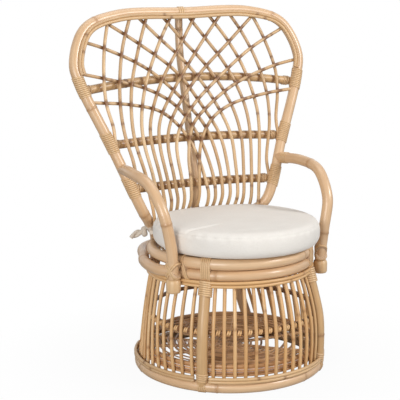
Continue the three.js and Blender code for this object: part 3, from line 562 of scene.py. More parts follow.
# Canes: slot, name, base, pale and dark colour, other values, weight and roughness of the varnish.
# Cloths: slot, name, colour, shade and how much the thick threads show.
finishes = {
    "pole": caneFinish("rattan_pole", "rattanPole", (0.705, 0.455, 0.250), (0.855, 0.660, 0.440),
                       (0.350, 0.165, 0.058), poleLook, (0.50, 0.24), 0.0004),
    # The upright finish is also worn by the crossbars, where its darker colour is painted shade behind the
    # rods
    "upright": caneFinish("rattan_pole", "rattanUpright", (0.610, 0.375, 0.165), (0.780, 0.540, 0.290),
                          (0.200, 0.080, 0.026), poleLook, (0.30, 0.28), 0.0004),
    "core": caneFinish("rattan_core", "rattanCore", (0.670, 0.425, 0.205), (0.840, 0.640, 0.395),
                       (0.210, 0.090, 0.030), {"Scars": 0.80}, (0.15, 0.35)),
    "peel": caneFinish("rattan_peel", "rattanPeel", (0.720, 0.465, 0.235), (0.860, 0.655, 0.410),
                       (0.200, 0.090, 0.028), {"Fibre": 0.16, "Patches": 0.35, "Tones": 0.08, "Scars": 0.40},
                       (0.20, 0.3)),
    # The skirt's finish: the core rattan's own colour, made warmer and deeper as painted bounce light in the
    # shade under the seat
    "stand": caneFinish("rattan_core", "rattanStand", (0.730, 0.430, 0.178), (0.860, 0.625, 0.350),
                        (0.310, 0.130, 0.036), {}, (0.20, 0.3)),
    "deck": caneFinish("rattan_core", "rattanDeck", (0.720, 0.390, 0.170), (0.860, 0.560, 0.310),
                       (0.190, 0.070, 0.020), matLook, (0.05, 0.4)),
    "shaded": caneFinish("rattan_core", "rattanShaded", (0.430, 0.225, 0.095), (0.600, 0.360, 0.180),
                         (0.150, 0.055, 0.016), matLook, (0.05, 0.4)),
    "cushion": clothFinish("cushion_fabric", "cushionCloth", (0.810, 0.775, 0.725),
                           (0.620, 0.560, 0.490), 0.12),
    "tie": clothFinish("tie_fabric", "tieCloth", (0.740, 0.660, 0.560), (0.440, 0.350, 0.260), 0.16),
}


def dress(piece, finish, node="", name=""):
    # A piece is named after the node that it replaces, unless it has a name of its own
    first, *rest = node.split("_")
    piece.name = piece.data.name = name or first + "".join(word.capitalize() for word in rest)
    slot, material = finishes[finish]
    piece.data.materials.clear()
    piece.data.materials.append(material)
    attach(piece, "root")
    if node:
        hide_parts(node)


print("finishes made")


# Hoop, rings, arms and uprights

dress(drawCane(hoopPath, "hoop"), "pole", "back_hoop")


def turned(angle):
    return (angle + math.pi) % math.tau - math.pi


for node, z, radius in (("seat_ring_upper", upperRingZ, seat["ringRadius"]),
                        ("seat_ring_lower", lowerRingZ, lambda a: seat["ringRadius"] + ringPush(turned(a))),
                        ("foot_ring", footRingZ, foot["ringRadius"])):
    dress(drawCane(ring(radius, z, math.radians(seat["joint"])), "pole"), "pole", node)

armSizes = {"height": 0.620, "rise": 0.003, "seatRise": 0.030, "widest": 0.304, "middle": 0.060,
            "frontHalf": 0.299, "front": -0.052, "frontHeight": 0.602, "elbowHalf": 0.284, "elbow": -0.111,
            "elbowHeight": 0.532, "seatRadius": 0.290, "angle": 65, "footRadius": 0.281, "footHeight": 0.290,
            "rightOut": 0.009, "rightRun": 0.100, "rootWrap": (0.024, 0.050)}
armAngle = math.radians(armSizes["angle"])
armRoot = pointAt(hoopPath, hoopShare(armSizes["height"]))
armPoints = [
    (-armRoot[0], armRoot[1], armSizes["height"]),
    (armSizes["widest"], armSizes["middle"], armSizes["height"] + armSizes["rise"]),
    (armSizes["frontHalf"], armSizes["front"], armSizes["frontHeight"]),
    (armSizes["elbowHalf"], armSizes["elbow"], armSizes["elbowHeight"]),
    polar(armSizes["seatRadius"], armAngle, seat["top"] + armSizes["seatRise"]),
    polar(armSizes["footRadius"], armAngle, lowerRingZ),
    polar(armSizes["footRadius"], armAngle, armSizes["footHeight"]),
]
armPaths = {"left": bend(mirrored(armPoints)), "right": bend(armPoints)}
lower = smooth((armSizes["frontHeight"] - armPaths["right"][:, 2]) / armSizes["rightRun"])
armPaths["right"][:, 0] += armSizes["rightOut"] * lower
for side, path in armPaths.items():
    dress(drawCane(path, "pole", trimEnds=True), "pole", "arm_" + side)


def uprightPath(angle):
    levels = [footRingZ + (lowerRingZ - footRingZ) * share for share in foot["levels"]]
    return bend([polar(skirtRadius(min(max(z, skirtFootZ), skirtTopZ)) + foot["uprightOut"], angle, z)
                 for z in levels])


sides = (("left", -1), ("right", 1))
uprights = {side: uprightPath(sign * math.radians(foot["uprightAngle"])) for side, sign in sides}
for side, path in uprights.items():
    shown = pieceOf(path, 0, 1 - (poleRadius + foot["uprightShort"]) / travelled(path)[-1])
    dress(drawCane(shown, "upright"), "upright", "front_upright_" + side)
print("hoop, rings, arms and uprights bent")


# The back: crossbars, centre post, two layers of rods and the trims that hide their ends

lattice = {"mergeHeight": 0.510, "mergeRise": 0.090, "layerGap": 0.0009, "barGap": 0.002,
           "seatedGap": 0.0008, "seatedDepth": 0.0014, "trimsAbove": 0.0434,
           "step": 0.009, "rodPoints": 22, "barPoints": 7,
           "crossing": 0.004, "shadowBeside": 0.008, "shadowSpread": 0.0052}
post = {"sunk": 0.008, "heights": (0.550, 0.689, 0.863, 0.973), "top": 1.105}
bars = {"lower": (0.550, 0.004), "middle": (0.689, 0.010), "upper": (0.863, 0.028)}

# Each rod from its top to its foot: across in thousandths of the back's widest half, up in
# thousandths of its height over the seat. The rear rods are written as seen in a mirror.
rodLines = {
    "front": [
        [(-668, 990), (-730, 867), (-769, 723), (-774, 602), (-738, 495), (-742, 418)],
        [(-472, 999), (-577, 853), (-639, 694), (-658, 560), (-646, 461), (-598, 322), (-612, 234)],
        [(-324, 999), (-435, 851), (-536, 683), (-572, 531), (-565, 432), (-511, 291),
         (-472, 149), (-432, -11)],
        [(-98, 999), (-251, 866), (-415, 680), (-486, 531), (-491, 432), (-445, 277),
         (-405, 121), (-378, -11)],
        [(123, 1001), (-42, 871), (-290, 674), (-410, 517), (-425, 439), (-381, 265),
         (-351, 149), (-324, -11)],
        [(356, 999), (152, 874), (-167, 656), (-327, 517), (-354, 418), (-322, 263),
         (-290, 149), (-270, -11)],
        [(658, 992), (376, 857), (57, 707), (-226, 517), (-280, 418), (-260, 260), (-231, 149), (-216, -11)],
        [(914, 921), (563, 822), (221, 687), (-34, 567), (-189, 444), (-209, 347),
         (-192, 255), (-170, 149), (-162, -11)],
        [(988, 766), (764, 741), (378, 663), (101, 564), (-39, 489), (-111, 347), (-113, 234), (-108, -11)],
        [(924, 633), (658, 616), (322, 573), (138, 512), (22, 418), (-29, 291), (-42, 149), (-54, -11)],
    ],
    "rear": [
        [(-619, 997), (-713, 874), (-786, 723), (-781, 616), (-738, 495), (-742, 418)],
        [(-413, 1000), (-523, 898), (-629, 757), (-681, 623), (-676, 489), (-604, 306), (-612, 234)],
        [(-216, 1000), (-378, 870), (-496, 737), (-570, 574), (-575, 472), (-526, 270),
         (-489, 149), (-432, -11)],
        [(-29, 1000), (-182, 880), (-342, 747), (-459, 585), (-486, 468), (-455, 265),
         (-423, 135), (-378, -11)],
        [(201, 1000), (29, 878), (-167, 749), (-344, 574), (-400, 432), (-381, 255),
         (-359, 149), (-324, -11)],
        [(423, 1000), (224, 885), (17, 769), (-167, 621), (-302, 447), (-317, 294), (-305, 149), (-270, -11)],
        [(713, 977), (410, 864), (108, 727), (-86, 567), (-206, 439), (-243, 288), (-238, 149), (-216, -11)],
        [(943, 894), (742, 857), (361, 748), (61, 588), (-91, 472), (-167, 305), (-170, 163), (-162, -11)],
        [(985, 751), (764, 720), (386, 659), (155, 578), (-12, 439), (-98, 270), (-108, 149), (-108, -11)],
        [(909, 616), (548, 594), (290, 554), (123, 468), (20, 355), (-29, 234), (-47, 149), (-54, -11)],
    ],
}

rearLayer = (rodRadius + lattice["layerGap"] / 2) * leanFactor
barLayer = rearLayer + (rodRadius + lattice["barGap"] + barRadius) * leanFactor
postLayer = barLayer + (barRadius + lattice["layerGap"] + postRadius) * leanFactor


def barPath(height, arch):
    half = abs(pointAt(hoopPath, hoopShare(height))[0])
    points = []
    for share in np.linspace(-1, 1, lattice["barPoints"]):
        z = height + arch * (1 - share * share)
        points.append((share * half, backSurface(share * half, z) + barLayer, z))
    return handBent(bend(points))


barPaths = {name: barPath(*size) for name, size in bars.items()}
crown = pointAt(hoopPath, 0.5)
postPath = bend([(0, seat["ringRadius"], seat["top"] - post["sunk"]),
                 *[(0, backSurface(0, z) + postLayer, z) for z in post["heights"]],
                 (0, crown[1] + poleRadius + postRadius + seat["gap"], post["top"])])
dress(drawCane(postPath, "post"), "pole", "back_centre_post")


def layerDepth(z, front):
    if not front:
        return rearLayer
    return rearLayer * (1 - 2 * smooth((z - lattice["mergeHeight"]) / lattice["mergeRise"]))


def rodPath(line, front):
    across, up = back["widest"] / 1000, (back["top"] - seat["top"]) / 1000
    flat = bend([(x * across, 0, seat["top"] + z * up) for x, z in line])
    flat = pointsAt(flat, np.linspace(0, travelled(flat)[-1], lattice["rodPoints"]))
    points = [(x, backSurface(x, z) + layerDepth(z, front), z) for x, _, z in flat]
    return handBent(bend(points if front else mirrored(points)))


def crossings(path, others, shift=0.0):
    # How far along a path the others cross it, as seen from the front
    places = []
    for other in others:
        off = np.linalg.norm(path[:, None, ::2] - other[None, :, ::2], axis=2).min(axis=1)
        if off.min() < lattice["crossing"]:
            places.append(travelled(path)[off.argmin()] + shift)
    return places


rodPaths = {layer: [rodPath(line, layer == "front") for line in lines] for layer, lines in rodLines.items()}
for name, path in barPaths.items():
    # Painted shadows on each bar, just beside every rod, where the rod's shadow falls on it
    paintedShadows = crossings(path, rodPaths["front"] + rodPaths["rear"], -lattice["shadowBeside"])
    bar = drawCane(path, "bar", paintedShadows=paintedShadows, spread=lattice["shadowSpread"])
    # The darker upright finish on the bars is painted shade, for they lie behind the rods
    dress(bar, "upright", "crossbar_" + name)
for layer, paths in rodPaths.items():
    for number, path in enumerate(paths, 1):
        # Painted shadows on each rod where a rod of the other layer crosses it
        paintedShadows = crossings(path, rodPaths["front" if layer == "rear" else "rear"])
        rod = drawCane(path, "rod", lattice["step"], paintedShadows=paintedShadows)
        dress(rod, "core", f"back_rod_{layer}_{number:02d}", f"backRod_{layer}_{number:02d}")

trimFront = rearLayer / leanFactor + rodRadius + trimRadius + lattice["seatedGap"]
trimReach = poleRadius + trimRadius - lattice["seatedDepth"]
trimInward = math.sqrt(trimReach ** 2 - trimFront ** 2)
trimStart = hoopShare(bars["upper"][0] + lattice["trimsAbove"])


def trimPath(inward):
    line = pieceOf(hoopPath, trimStart, 1 - trimStart)
    along = np.gradient(line, axis=0)
    lean = math.radians(back["lean"])
    ahead = np.array([0, -math.cos(lean), math.sin(lean)])
    inner = np.cross(along, ahead)
    inner /= np.linalg.norm(inner, axis=1)[:, None]
    return line + inner * inward + ahead * trimFront


for name, inward in (("outer", trimInward),
                     ("inner", trimInward + 2 * trimRadius - lattice["seatedDepth"])):
    dress(drawCane(trimPath(inward), "trim"), "core", "hoop_trim_" + name)
print("back woven")


# The skirt: bowed rods in three sectors, apron rods under the seat and trims on the foot ring

skirt = {"rods": 13, "seated": 0.0015, "apronGap": 0.0036, "bond": 0.0024, "midHeight": 0.180,
         "step": 0.012, "curveSteps": 8, "flatAngle": -118, "flatHalf": 38, "flatFull": 1.5, "flatBy": 0.016,
         "inmost": 0.05, "joint": 0.9}
frontEdge = math.radians(foot["uprightAngle"])


def legAngleAt(z):
    point = pointAt(hoopPath, hoopShare(z))
    return math.pi - math.atan2(-point[0], point[1])


def drawnIn(path):
    # The skirt's left side stands nearly straight, so the rear leg is the outline there
    path = np.array(path)
    off = turned(np.arctan2(path[:, 0], -path[:, 1]) - math.radians(skirt["flatAngle"]))
    flat = smooth(skirt["flatFull"] - np.abs(off) / math.radians(skirt["flatHalf"]))
    share = np.clip((skirtTopZ - path[:, 2]) / (skirtTopZ - skirtFootZ), 0, 1)
    inward = skirt["flatBy"] * flat * np.sin(math.pi * share)
    path[:, :2] *= (1 - inward / np.maximum(np.linalg.norm(path[:, :2], axis=1), skirt["inmost"]))[:, None]
    return path


def skirtAngle(sector, index, z):
    # Where a rod of the front, 0, or of a side, -1 or 1, stands at a height
    share = index / (skirt["rods"] + 1)
    if sector == 0:
        return -frontEdge + 2 * frontEdge * share
    return sector * (frontEdge + (legAngleAt(z) - frontEdge) * share)


def skirtRodPath(sector, index):
    low, high = skirtFootZ + skirt["seated"], skirtTopZ - skirt["seated"]
    levels = [low + (high - low) * level for level in foot["levels"]]
    return drawnIn(bend([polar(skirtRadius(z), skirtAngle(sector, index, z), z) for z in levels],
                        skirt["curveSteps"]))


apronUpperZ = skirtTopZ - trimRadius - lattice["seatedGap"]
apronLowerZ = apronUpperZ - 2 * trimRadius - seat["gap"]
apronReach = rodRadius + trimRadius + skirt["apronGap"]
apronBonded = rodRadius + trimRadius - skirt["bond"]


def apronPath(z, offset, start, end):
    # The rods lie up against the lower ring, and sink below it where it bulges out behind
    path = around(skirtRadius(z) + offset, z, start, end)
    touch = poleRadius + trimRadius + lattice["seatedGap"]
    beside = [max(apronReach - ringPush(turned(a)), 0) for a in np.linspace(start, end, len(path))]
    path[:, 2] += touch - np.sqrt(touch ** 2 - np.square(beside))
    return path


for name, skirtName, start, end, sectors in (("front", "front", -frontEdge, frontEdge, (0,)),
                                             ("rear", "sides", frontEdge, math.tau - frontEdge, (-1, 1))):
    dress(drawCane(apronPath(apronUpperZ, apronReach, start, end), "trim"), "stand", "apron_rod_" + name)
    rods = [drawCane(skirtRodPath(sector, index), "rod", skirt["step"])
            for sector in sectors for index in range(1, skirt["rods"] + 1)]
    rods.append(drawCane(apronPath(apronLowerZ, apronBonded, start, end), "trim"))
    dress(joined(rods), "stand", "skirt_" + skirtName)

midReach = skirtRadius(skirt["midHeight"]) - rodRadius - midRingRadius - lattice["seatedGap"]
dress(drawCane(drawnIn(ring(midReach, skirt["midHeight"], skirt["joint"])), "midRing"), "shaded", "mid_ring")
knob = {"reach": 0.0045, "radius": 0.0068, "length": 0.0125, "beside": 0.0125, "bevel": 4}
knots = []
half = knob["length"] / 2 / midReach
for sector in (0, 1, -1):
    for index in range(1, skirt["rods"] + 1):
        middle = skirtAngle(sector, index, skirt["midHeight"]) + knob["beside"] / midReach
        path = around(midReach + knob["reach"], skirt["midHeight"], middle - half, middle + half)
        knots.append(drawWrap(drawnIn(path), knob["radius"], knob["bevel"]))
dress(joined(knots), "stand", name="midRingKnots")

footTrim = {"out": 0.0032, "clear": 0.0227, "ringCorners": 8, "caneCorners": 6}
footTrimOut = rodRadius + trimRadius + footTrim["out"]
footTrimRadius = foot["ringRadius"] + footTrimOut
footTrimTouch = poleRadius / math.cos(math.pi / footTrim["ringCorners"]) + trimRadius
footTrimZ = footRingZ + math.sqrt(footTrimTouch ** 2 - footTrimOut ** 2) + seat["gap"]
edge = footTrim["clear"] / footTrimRadius
for turn, side in enumerate(("front", "right", "back", "left")):
    start, end = (math.radians(90 * turn + way * foot["uprightAngle"]) - way * edge for way in (-1, 1))
    pair = [drawCane(around(footTrimRadius, footTrimZ + rise, start, end), "trim", trimEnds=True)
            for rise in (0, 2 * trimRadius * math.cos(math.pi / footTrim["caneCorners"]))]
    dress(joined(pair), "core", "foot_trim_" + side)
print("skirt hung")


# Woven decks: spokes with strands that pass over and under them

deck = {"spokes": 36, "hub": 0.012, "first": 0.010, "pitch": 0.0058, "radius": 0.2255, "edge": 0.002,
        "z": 0.3842, "wave": 0.0017, "innerRows": 0.1, "innerStep": 0.02, "step": 0.0098, "spokeStep": 0.03}

# The base mat's rows: close in front and behind, with a window at either side that only the
# kept rows cross, and slots at the front left that thin strands cross. Degrees from the front.
mat = {"z": 0.062, "dish": 0.016, "spokes": 16, "leftOut": (2,), "hub": 0.02, "pair": 0.0045,
       "spokePoints": 6, "wave": 0.0030, "lift": 0.0005, "first": 0.012, "pitch": 0.0083, "edge": 0.006,
       "step": 0.012, "kept": (0.020, 0.040, 0.060, 0.074, 0.107, 0.175, 0.205), "closed": 0.246,
       "round": (-118.0, 242.0),
       "beside": [(-118.0, 33.0), (98.0, 212.0)], "slots": (-100.0, -44.0), "slotsFrom": 0.19, "thinEvery": 3,
       "joint": 0.6, "underJoint": 2.4,
       "under": ((0.0712, 0.001), (0.0640, -0.001), (0.0568, -0.002), (0.0500, -0.002))}


strandSteps = {"fewest": 12, "perSpoke": 4}


def strandPath(radius, row, woven, z, start=0.0, end=math.tau):
    # A strand that goes over one spoke and under the next, the other way round in every second row
    count = max(strandSteps["fewest"],
                int(abs(end - start) / math.tau * woven["spokes"] * strandSteps["perSpoke"]))
    phase = row % 2 * math.pi
    return np.array([polar(radius, a, z + woven["wave"] * math.cos(woven["spokes"] * a / 2 + phase))
                     for a in np.linspace(start, end, count + 1)])


strands = []
for spoke in range(deck["spokes"]):
    angle = (spoke + 0.5) * math.tau / deck["spokes"]
    line = np.array([polar(reach, angle, deck["z"]) for reach in (deck["hub"], deck["radius"])])
    strands.append(drawCane(line, "seatSpoke", deck["spokeStep"], knots=False))
radius, row = deck["first"], 0
while radius < deck["radius"] - deck["edge"]:
    step = deck["innerStep"] if radius < deck["innerRows"] else deck["step"]
    strands.append(drawCane(strandPath(radius, row, deck, deck["z"]), "seatStrand", step, knots=False))
    radius, row = radius + deck["pitch"], row + 1
dress(joined(strands), "core", "seat_deck", "seatDeckWoven")

rimZ = mat["z"] + mat["dish"]
baseRim = skirtRadius(rimZ) - rodRadius - midRingRadius - lattice["seatedGap"]
strands = [drawCane(drawnIn(ring(baseRim, rimZ, mat["joint"])), "baseRim")]


def dished(path):
    # The mat lies a little lower in the middle than at its rim
    path[:, 2] += mat["dish"] * (path[:, 0] ** 2 + path[:, 1] ** 2) / baseRim ** 2
    return drawnIn(path)


for spoke in range(mat["spokes"]):
    angle = (spoke + 0.5) * math.tau / mat["spokes"]
    if spoke in mat["leftOut"]:
        continue
    for beside in (-mat["pair"], mat["pair"]):
        shift = ringWays(angle)[0] * beside
        reaches = np.linspace(mat["hub"], baseRim, mat["spokePoints"])
        line = np.array([polar(reach, angle, mat["z"]) + shift for reach in reaches])
        strands.append(drawCane(dished(line), "baseStrand", deck["spokeStep"], knots=False))
for height, inset in mat["under"]:
    strands.append(drawCane(drawnIn(ring(baseRim - inset, height, mat["underJoint"])), "baseStrand"))
rows = np.arange(mat["first"], baseRim - mat["edge"], mat["pitch"])
for row, radius in enumerate(rows):
    spans = [mat["round"]]
    if min(abs(radius - kept) for kept in mat["kept"]) > mat["pitch"] / 2 and radius < mat["closed"]:
        spans = mat["beside"]
    if radius > mat["slotsFrom"]:
        spans = [(spans[0][0], mat["slots"][0]), (mat["slots"][1], spans[0][1]), *spans[1:]]
        if row % mat["thinEvery"] == 0:
            thin = around(radius, mat["z"], *np.radians(mat["slots"]))
            strands.append(drawCane(dished(thin), "thinStrand", mat["step"], knots=False))
    for start, end in spans:
        path = strandPath(radius, row, mat, mat["z"] + mat["lift"], math.radians(start), math.radians(end))
        strands.append(drawCane(dished(path), "baseStrand", mat["step"], knots=False))
dress(joined(strands), "deck", "base_deck", "baseDeckWoven")
print("decks woven")


# Straps round the hoop, the bars, the arms and the uprights

binding = {"hoop": 0.062, "bar": 0.018, "rise": 0.012, "armWidth": 0.0125, "armTilt": 55, "loopTilt": 20,
           "loopBeside": 0.021, "bandWidth": 0.030, "headWrap": 0.044, "footWrap": 0.026, "swell": 0.0026,
           "slack": 0.0004, "splice": (0.4905, 0.4975), "barStart": 0.9, "barBevel": 6, "bandBevel": 6,
           "crossingOut": 1.003, "crossingDown": 0.004, "footBand": 0.024, "lowest": 0.0003}


for name, (height, arch) in bars.items():
    for side, sign in sides:
        whole = travelled(barPaths[name])[-1]
        start, end = sorted(onSide(sign, share) for share in
                            (poleRadius * binding["barStart"] / whole, (poleRadius + binding["bar"]) / whole))
        parts = [drawWrap(hoopPiece(sign, height + binding["rise"], binding["hoop"]), poleRadius),
                 drawWrap(pieceOf(barPaths[name], start, end), barRadius, binding["barBevel"])]
        dress(joined(parts), "peel", f"binding_{name}_{side}")

dress(drawWrap(pieceOf(hoopPath, *binding["splice"]), poleRadius), "peel", name="hoopSplice")

ringPairMiddle = (upperRingZ + lowerRingZ) / 2
ringPairHalf = 2 * poleRadius + seat["gap"]


def bandRound(centre, along, across, width, room, tilt=0.0):
    # A flat band of strips closed round something oblong, its strips side by side along a line.
    # Its two halves are moved apart by the room on each side, and it leans by the tilt.
    path = np.array([centre - along * width / 2, centre, centre + along * width / 2])
    band = drawWrap(pieceOf(path, 0, 1), poleRadius + binding["slack"], binding["bandBevel"], lean=0)
    middle, upward = centre + seatCentre, np.cross(across, along)
    away = readPoints(band) - middle
    away += np.sign(np.round(away @ upward, 5))[:, None] * upward * room
    lean = np.array(Matrix.Rotation(tilt, 3, Vector(across)))
    points = away @ lean.T + middle
    points[:, 2] = np.maximum(points[:, 2], binding["lowest"])
    writePoints(band, points)
    return band


# The sleeve's radius at each place along it
sleeve = {"swell": ((0, 0.0165), (0.0015, 0.0200), (0.006, 0.0218), (0.030, 0.0222), (0.038, 0.0208),
                    (0.042, 0.0176)),
          "below": 0.0015, "bevel": 8, "smooth": 60}


def drawSleeve(path):
    # A smooth sleeve of peel round an arm's end, swelling from its own ends
    places, radii = np.array(sleeve["swell"]).T
    line = pointsAt(path, places)
    piece = sweepCane(line, radii, sleeve["bevel"])
    markSkin(piece, travelled(line), radii, 4 + 2 * sleeve["bevel"], draw.uniform(0, cane["skinShift"]),
             draw.uniform(-1, 1), np.zeros(len(line)))
    closeEnds(piece, sleeve["smooth"])
    return piece


for side, sign in sides:
    angle = sign * armAngle
    along, across = ringWays(angle)
    tilt, lean = math.radians(binding["armTilt"]), math.radians(binding["loopTilt"])
    crossing = np.array([*armPaths[side][-1][:2] * binding["crossingOut"],
                         ringPairMiddle - binding["crossingDown"]])
    spare = poleRadius * (1 / math.cos(tilt) - 1)
    parts = [bandRound(crossing, np.array([0, 0, 1.0]), across, binding["armWidth"], spare, way * tilt)
             for way in (-1, 1)]
    high = ringPairHalf / math.cos(lean) - poleRadius
    for way in (-1, 1):
        beside = polar(seat["ringRadius"], angle, ringPairMiddle) + along * way * binding["loopBeside"]
        parts.append(bandRound(beside, along, across, binding["armWidth"], high, -sign * lean))
    ends = (armSizes["footHeight"] - sleeve["below"], lowerRingZ)
    parts.append(drawSleeve(np.array([[*armPaths[side][-1][:2], z] for z in ends])))
    if side == "right":
        root = np.array(armSizes["rootWrap"]) / travelled(armPaths[side])[-1]
        parts.append(drawWrap(pieceOf(armPaths[side], *root), poleRadius))
    dress(joined(parts), "peel", "binding_arm_" + side)

    angle = sign * frontEdge
    along, across = ringWays(angle)
    length = travelled(uprights[side])[-1]
    head = pieceOf(uprights[side], 1 - (poleRadius + binding["headWrap"]) / length,
                   1 - poleRadius / length)
    parts = [bandRound(polar(seat["ringRadius"], angle, ringPairMiddle), along, across, binding["bandWidth"],
                       ringPairHalf - poleRadius),
             drawWrap(head, uprightRadius + binding["swell"])]
    dress(joined(parts), "peel", "binding_upright_" + side)

    low = pieceOf(uprights[side], poleRadius / length,
                  (poleRadius + binding["footWrap"]) / length)
    parts = [bandRound(polar(foot["ringRadius"], angle, footRingZ), along, across, binding["footBand"], 0),
             drawWrap(low, uprightRadius)]
    dress(joined(parts), "peel", "binding_foot_" + side)
print("straps wound")


# Cushion: a round pad filled by a short cloth simulation, flat where it rests on the seat

pad = {"radius": 0.260, "aside": 0.009, "forward": 0.027, "low": 0.3965, "high": 0.4750, "edge": 0.037,
       "profile": 0.57, "voxel": 0.0055, "pressure": 4.0, "cap": 0.009, "backGap": 0.006, "fill": 0.7,
       "corners": 96, "segments": 10, "frames": 20, "under": 0.001, "armGap": 0.0005, "level": 0.6}
seam = {"core": 0.216, "height": 0.434, "angle": 36, "width": 3.2, "depth": 0.0014, "gathers": 46,
        "gatherDepth": 0.0009, "gatherWidth": 14, "second": (0.6, 0.37, 1), "beyond": 0.8}
# Creases pressed into the top: two ends seen from above, depth and half width
creases = (((-0.245, -0.140), (-0.070, -0.090), 0.0040, 0.007),
           ((-0.120, -0.200), (0.030, -0.228), 0.0014, 0.007),
           ((0.020, -0.216), (0.150, -0.180), 0.0012, 0.008))
creaseFade = 1.2


def heldBack(points):
    # Keeps the pad clear of the lattice, the seat under it and the arms beside it
    own = points - seatCentre
    for point in own:
        point[1] = min(point[1], backSurface(point[0], max(point[2], seat["top"])) - pad["backGap"])
    own[:, 2] = np.maximum(own[:, 2], pad["low"] - pad["under"])
    for path in (*armPaths.values(), hoopPath):
        beside = path[np.abs(path[:, 2] - (pad["low"] + pad["high"]) / 2) < pad["high"] - pad["low"]]
        axis = beside[np.linalg.norm(own[:, None] - beside[None], axis=2).argmin(axis=1)]
        off = own[:, :2] - axis[:, :2]
        push = np.maximum((poleRadius + pad["armGap"]) / np.linalg.norm(own - axis, axis=1), 1)
        own[:, :2] = axis[:, :2] + off * push[:, None]
    return own + seatCentre


def modify(piece, kind, **settings):
    bpy.ops.object.modifier_add(type=kind)
    modifier = piece.modifiers[-1]
    for key, value in settings.items():
        setattr(modifier, key, value)
    bpy.ops.object.modifier_apply(modifier=modifier.name)


def makePad():
    bpy.ops.object.select_all(action="DESELECT")
    middle = (pad["low"] + pad["high"]) / 2
    bpy.ops.mesh.primitive_cylinder_add(
        vertices=pad["corners"], radius=pad["radius"], depth=pad["high"] - pad["low"], end_fill_type="NGON",
        location=(pad["aside"], seatCentre[1] - pad["forward"], middle))
    piece = bpy.context.object
    bpy.ops.object.transform_apply(location=True, rotation=True, scale=True)
    modify(piece, "BEVEL", width=pad["edge"], segments=pad["segments"], profile=pad["profile"])
    modify(piece, "REMESH", mode="VOXEL", voxel_size=pad["voxel"])
    writePoints(piece, heldBack(readPoints(piece)))
    before = readPoints(piece)
    bpy.ops.object.modifier_add(type="CLOTH")
    cloth = piece.modifiers[-1]
    cloth.settings.use_pressure = True
    cloth.settings.uniform_pressure_force = pad["pressure"]
    cloth.settings.effector_weights.gravity = 0
    cloth.point_cache.frame_start = 1
    cloth.point_cache.frame_end = pad["frames"]
    for number in range(1, pad["frames"] + 1):
        bpy.context.scene.frame_set(number)
    bpy.ops.object.modifier_apply(modifier=cloth.name)
    bpy.context.scene.frame_set(1)
    moved = readPoints(piece) - before
    far = np.linalg.norm(moved, axis=1)
    moved *= (np.minimum(far, pad["cap"]) / np.maximum(far, 1e-9))[:, None]
    writePoints(piece, heldBack(before + moved))
    modify(piece, "SUBSURF", levels=1, render_levels=1)
    writePoints(piece, stitched(readPoints(piece)))
    bpy.ops.object.shade_smooth()
    return piece


def stitched(points):
    # Draws the cloth in along the seam round the top, with small gathers beside it
    own = points - seatCentre + (-pad["aside"], pad["forward"], 0)
    turn = np.arctan2(own[:, 0], -own[:, 1])
    reach = np.hypot(own[:, 0], own[:, 1])
    out, up = reach - seam["core"], own[:, 2] - seam["height"]
    off = np.degrees(np.arctan2(up, out)) - seam["angle"]
    share, rate, shift = seam["second"]
    gathers = np.sin(turn * seam["gathers"]) + share * np.sin(turn * seam["gathers"] * rate + shift)
    pull = seam["depth"] * np.exp(-(off / seam["width"]) ** 2)
    pull += seam["gatherDepth"] * gathers * np.exp(-(off / seam["gatherWidth"]) ** 2)
    pull *= reach > seam["core"] * seam["beyond"]
    far = np.maximum(np.hypot(out, up), 1e-6)
    inward = np.stack([out / far * np.sin(turn), -out / far * np.cos(turn), up / far], axis=1)
    points = points - inward * pull[:, None]
    for start, end, depth, width in creases:
        run = np.subtract(end, start)
        along = own[:, :2] + (pad["aside"], -pad["forward"]) - start
        share = along @ run / (run @ run)
        off = (along[:, 0] * run[1] - along[:, 1] * run[0]) / np.linalg.norm(run)
        fade = np.clip(creaseFade - (2 * share - 1) ** 2 * creaseFade, 0, 1)
        points[:, 2] -= depth * np.exp(-(off / width) ** 2) * fade * (up > 0)
    return points


def markCloth(piece, centre):
    # Threads lie level on top, and run round the pad at its side
    points = readPoints(piece)
    normals = np.empty(len(piece.data.vertices) * 3)
    piece.data.vertices.foreach_get("normal", normals)
    level = np.abs(normals.reshape(-1, 3)[:, 2]) > pad["level"]
    turn = np.arctan2(points[:, 0] - centre[0], centre[1] - points[:, 1])
    beside = np.stack([turn * pad["radius"], points[:, 2], points[:, 2]], axis=1)
    cloth = np.where(level[:, None], points, beside)
    setAttribute(piece, "cloth", cloth)


cushion = makePad()
markCloth(cushion, (pad["aside"], seatCentre[1] - pad["forward"]))
dress(cushion, "cushion", "cushion", "seatCushion")
print("cushion filled", len(cushion.data.polygons))


# Ties: a folded fabric strap round each rear leg, knotted, with two loose tails

tie = {"height": 0.424, "width": 0.024, "strap": 0.0065, "knot": 0.017, "rim": 0.258, "rimAngle": 122,
       "wrap": 0.0024, "tail": 0.0062, "reach": 0.043, "drop": 0.017, "twist": 5.0, "below": 0.019,
       "loopShape": ((0, -0.2), (0.08, 0.7), (0.3, 1.0), (0.55, 0.75), (0.7, 1.0), (0.92, 0.7), (1, -0.2)),
       "strapIn": 0.012, "strapSag": 0.004, "strapOver": 0.006, "tailSteps": 16, "tailCurve": 1.5,
       "rings": 14, "uneven": 0.12, "waves": 160, "waveShift": 6, "tips": (0.0, 0.7), "knotReach": 0.55,
       "knotThick": 0.5, "knotSteps": 19, "loopBevel": 8, "bevel": 3, "smooth": 80}


